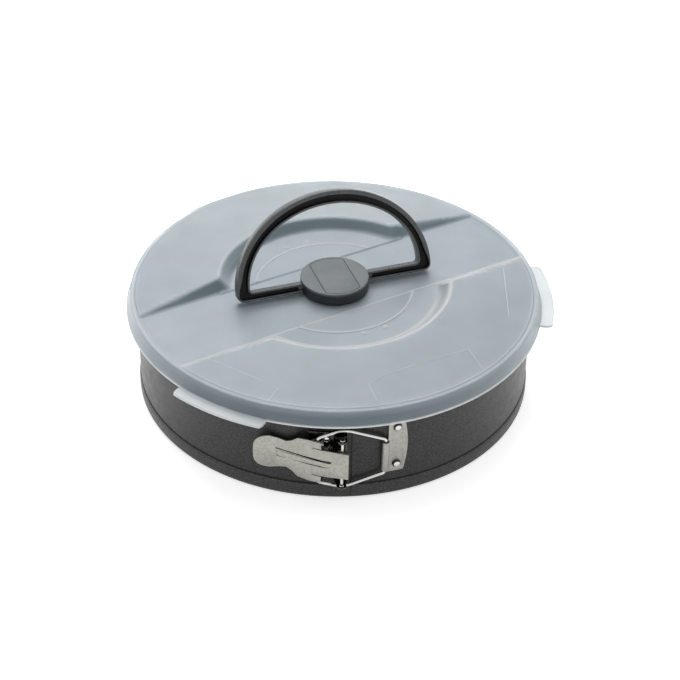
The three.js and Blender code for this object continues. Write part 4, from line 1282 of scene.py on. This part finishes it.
def dome_rivet(node):
    """A domed head on the outside and a flat tail inside, pointing out of the wall."""
    low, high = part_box(node)
    middle = (low + high) / 2 / MM
    bearing = math.atan2(middle.y, middle.x)
    outer = max(math.hypot(v.co.x, v.co.y) for v in frame["nodes"][node].data.vertices) / MM
    seat = outer - RIVET_RISE
    tail, neck = seat - TAIL_DEPTH, seat - TAIL_DEPTH + TAIL_THICK
    outline = [(0, tail), (RIVET_TAIL, tail), (RIVET_TAIL, neck), (RIVET_SHANK, neck)]
    outline += [(RIVET_SHANK, seat)]
    outline += [(RIVET_HEAD * math.cos(t), seat + RIVET_RISE * math.sin(t))
                for t in (math.pi / 2 * i / HEAD_STEPS for i in range(HEAD_STEPS))]
    piece = turn(node + "_fine", outline + [(0, seat + RIVET_RISE)], 32)
    piece.data.transform(Matrix.Translation((0, 0, middle.z * MM)) @ Matrix.Rotation(
        bearing, 4, "Z") @ Matrix.Rotation(math.pi / 2, 4, "Y"))
    # The dome's top is polished steel; its sloping sides take painted shade.
    painted(piece, bright_steel, shade_painted_nickel)
    outward = Vector((math.cos(bearing), math.sin(bearing), 0))
    second_finish(piece, lambda face: abs(face.normal.dot(outward)) < HEAD_BRIGHT)
    return stands_for(piece, "pan", "nickel_steel", node)


for node in ("bracket_rivet_lower", "bracket_rivet_upper",
             "catch_rivet_lower", "catch_rivet_upper"):
    dome_rivet(node)
pin_low, pin_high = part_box("lever_pin")
PIN_RADIUS = 0.95
PIN_HEAD_RADIUS = 1.7
PIN_HEAD = 0.8
PIN_SHORT = 2
pin_foot = pin_low.z / MM + PIN_SHORT
pin_top = pin_high.z / MM
pin = turn("lever_pin_fine", [
    (0, pin_foot), (PIN_RADIUS, pin_foot), (PIN_RADIUS, pin_top - PIN_HEAD),
    (PIN_HEAD_RADIUS, pin_top - PIN_HEAD), (PIN_HEAD_RADIUS, pin_top), (0, pin_top)], 32)
soften(pin, 0.25, 2, 50)
pin.data.transform(Matrix.Translation((PIVOT.x * MM, PIVOT.y * MM, 0)))
painted(pin, bright_steel)
stands_for(pin, "pan", "nickel_steel", "lever_pin")

# %% Under the lid
for node, material in (("hub_retainer", charcoal), ("retainer_screw_1", bright_steel),
                       ("retainer_screw_2", bright_steel), ("retainer_screw_3", bright_steel)):
    slot_name = "dark_plastic" if material is charcoal else "nickel_steel"
    piece = fine_copy(node, 0.15)
    painted(piece, material)
    stands_for(piece, "hub", slot_name, node)

# %% [markdown]
# Light and floor
#
# The floor and the world are white to the camera and to reflections. The object is lit by the
# world at half strength and by a wide soft lamp over the back, so faces that look forward are
# a little darker, as they are in the photograph.

# %% World
world = bpy.data.worlds.new("studio")
bpy.context.scene.world = world
world.use_nodes = True
sky = world.node_tree
background = sky.nodes["Background"]
background.inputs["Color"].default_value = (1, 1, 1, 1)
SOFT_LEVEL = 0.54


def seen_white(tree):
    """1 where the camera, a reflection or a clear material sees it, and 0 for its light."""
    rays = tree.nodes.new("ShaderNodeLightPath")
    total = rays.outputs["Is Camera Ray"]
    for name in ("Is Glossy Ray", "Is Transmission Ray"):
        add = tree.nodes.new("ShaderNodeMath")
        add.operation = "MAXIMUM"
        tree.links.new(total, add.inputs[0])
        tree.links.new(rays.outputs[name], add.inputs[1])
        total = add.outputs[0]
    return total


level = sky.nodes.new("ShaderNodeMapRange")
level.inputs["To Min"].default_value = SOFT_LEVEL
level.inputs["To Max"].default_value = 1
sky.links.new(seen_white(sky), level.inputs["Value"])
sky.links.new(level.outputs["Result"], background.inputs["Strength"])

# %% Lamp
LAMP_PLACE = Vector((-0.15, 0.7, 1.3))
LAMP_SIZE = 1.2
LAMP_POWER = 19
nothing_selected()
bpy.ops.object.light_add(type="AREA", location=LAMP_PLACE)
lamp = bpy.context.object
lamp.name = "softbox"
lamp.data.size = LAMP_SIZE
lamp.data.energy = LAMP_POWER
lamp.rotation_euler = LAMP_PLACE.to_track_quat("Z", "Y").to_euler()

# %% Floor
FLOOR_SIDE = 8
FLOOR_GLOW = 0.62
FLOOR_DROP = 0.0002
nothing_selected()
bpy.ops.mesh.primitive_plane_add(size=FLOOR_SIDE, location=(0, 0, -FLOOR_DROP))
floor = named("floor")
floor_finish, tree, shader, place = new_finish("pale_floor")
shader.inputs["Base Color"].default_value = (0.92, 0.92, 0.92, 1)
shader.inputs["Roughness"].default_value = 0.9
glow = tree.nodes.new("ShaderNodeMath")
glow.operation = "MULTIPLY"
glow.inputs[1].default_value = FLOOR_GLOW
tree.links.new(seen_white(tree), glow.inputs[0])
shader.inputs["Emission Color"].default_value = (1, 1, 1, 1)
tree.links.new(glow.outputs[0], shader.inputs["Emission Strength"])
painted(floor, floor_finish)
floor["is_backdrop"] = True

# %% Picture settings and sizes
bpy.context.scene.view_settings.view_transform = "Standard"
seen_low, seen_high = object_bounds()
growth = (*(cad_low - seen_low), *(seen_high - cad_high))
print("grown by", [round(v / MM, 2) for v in growth], "mm")
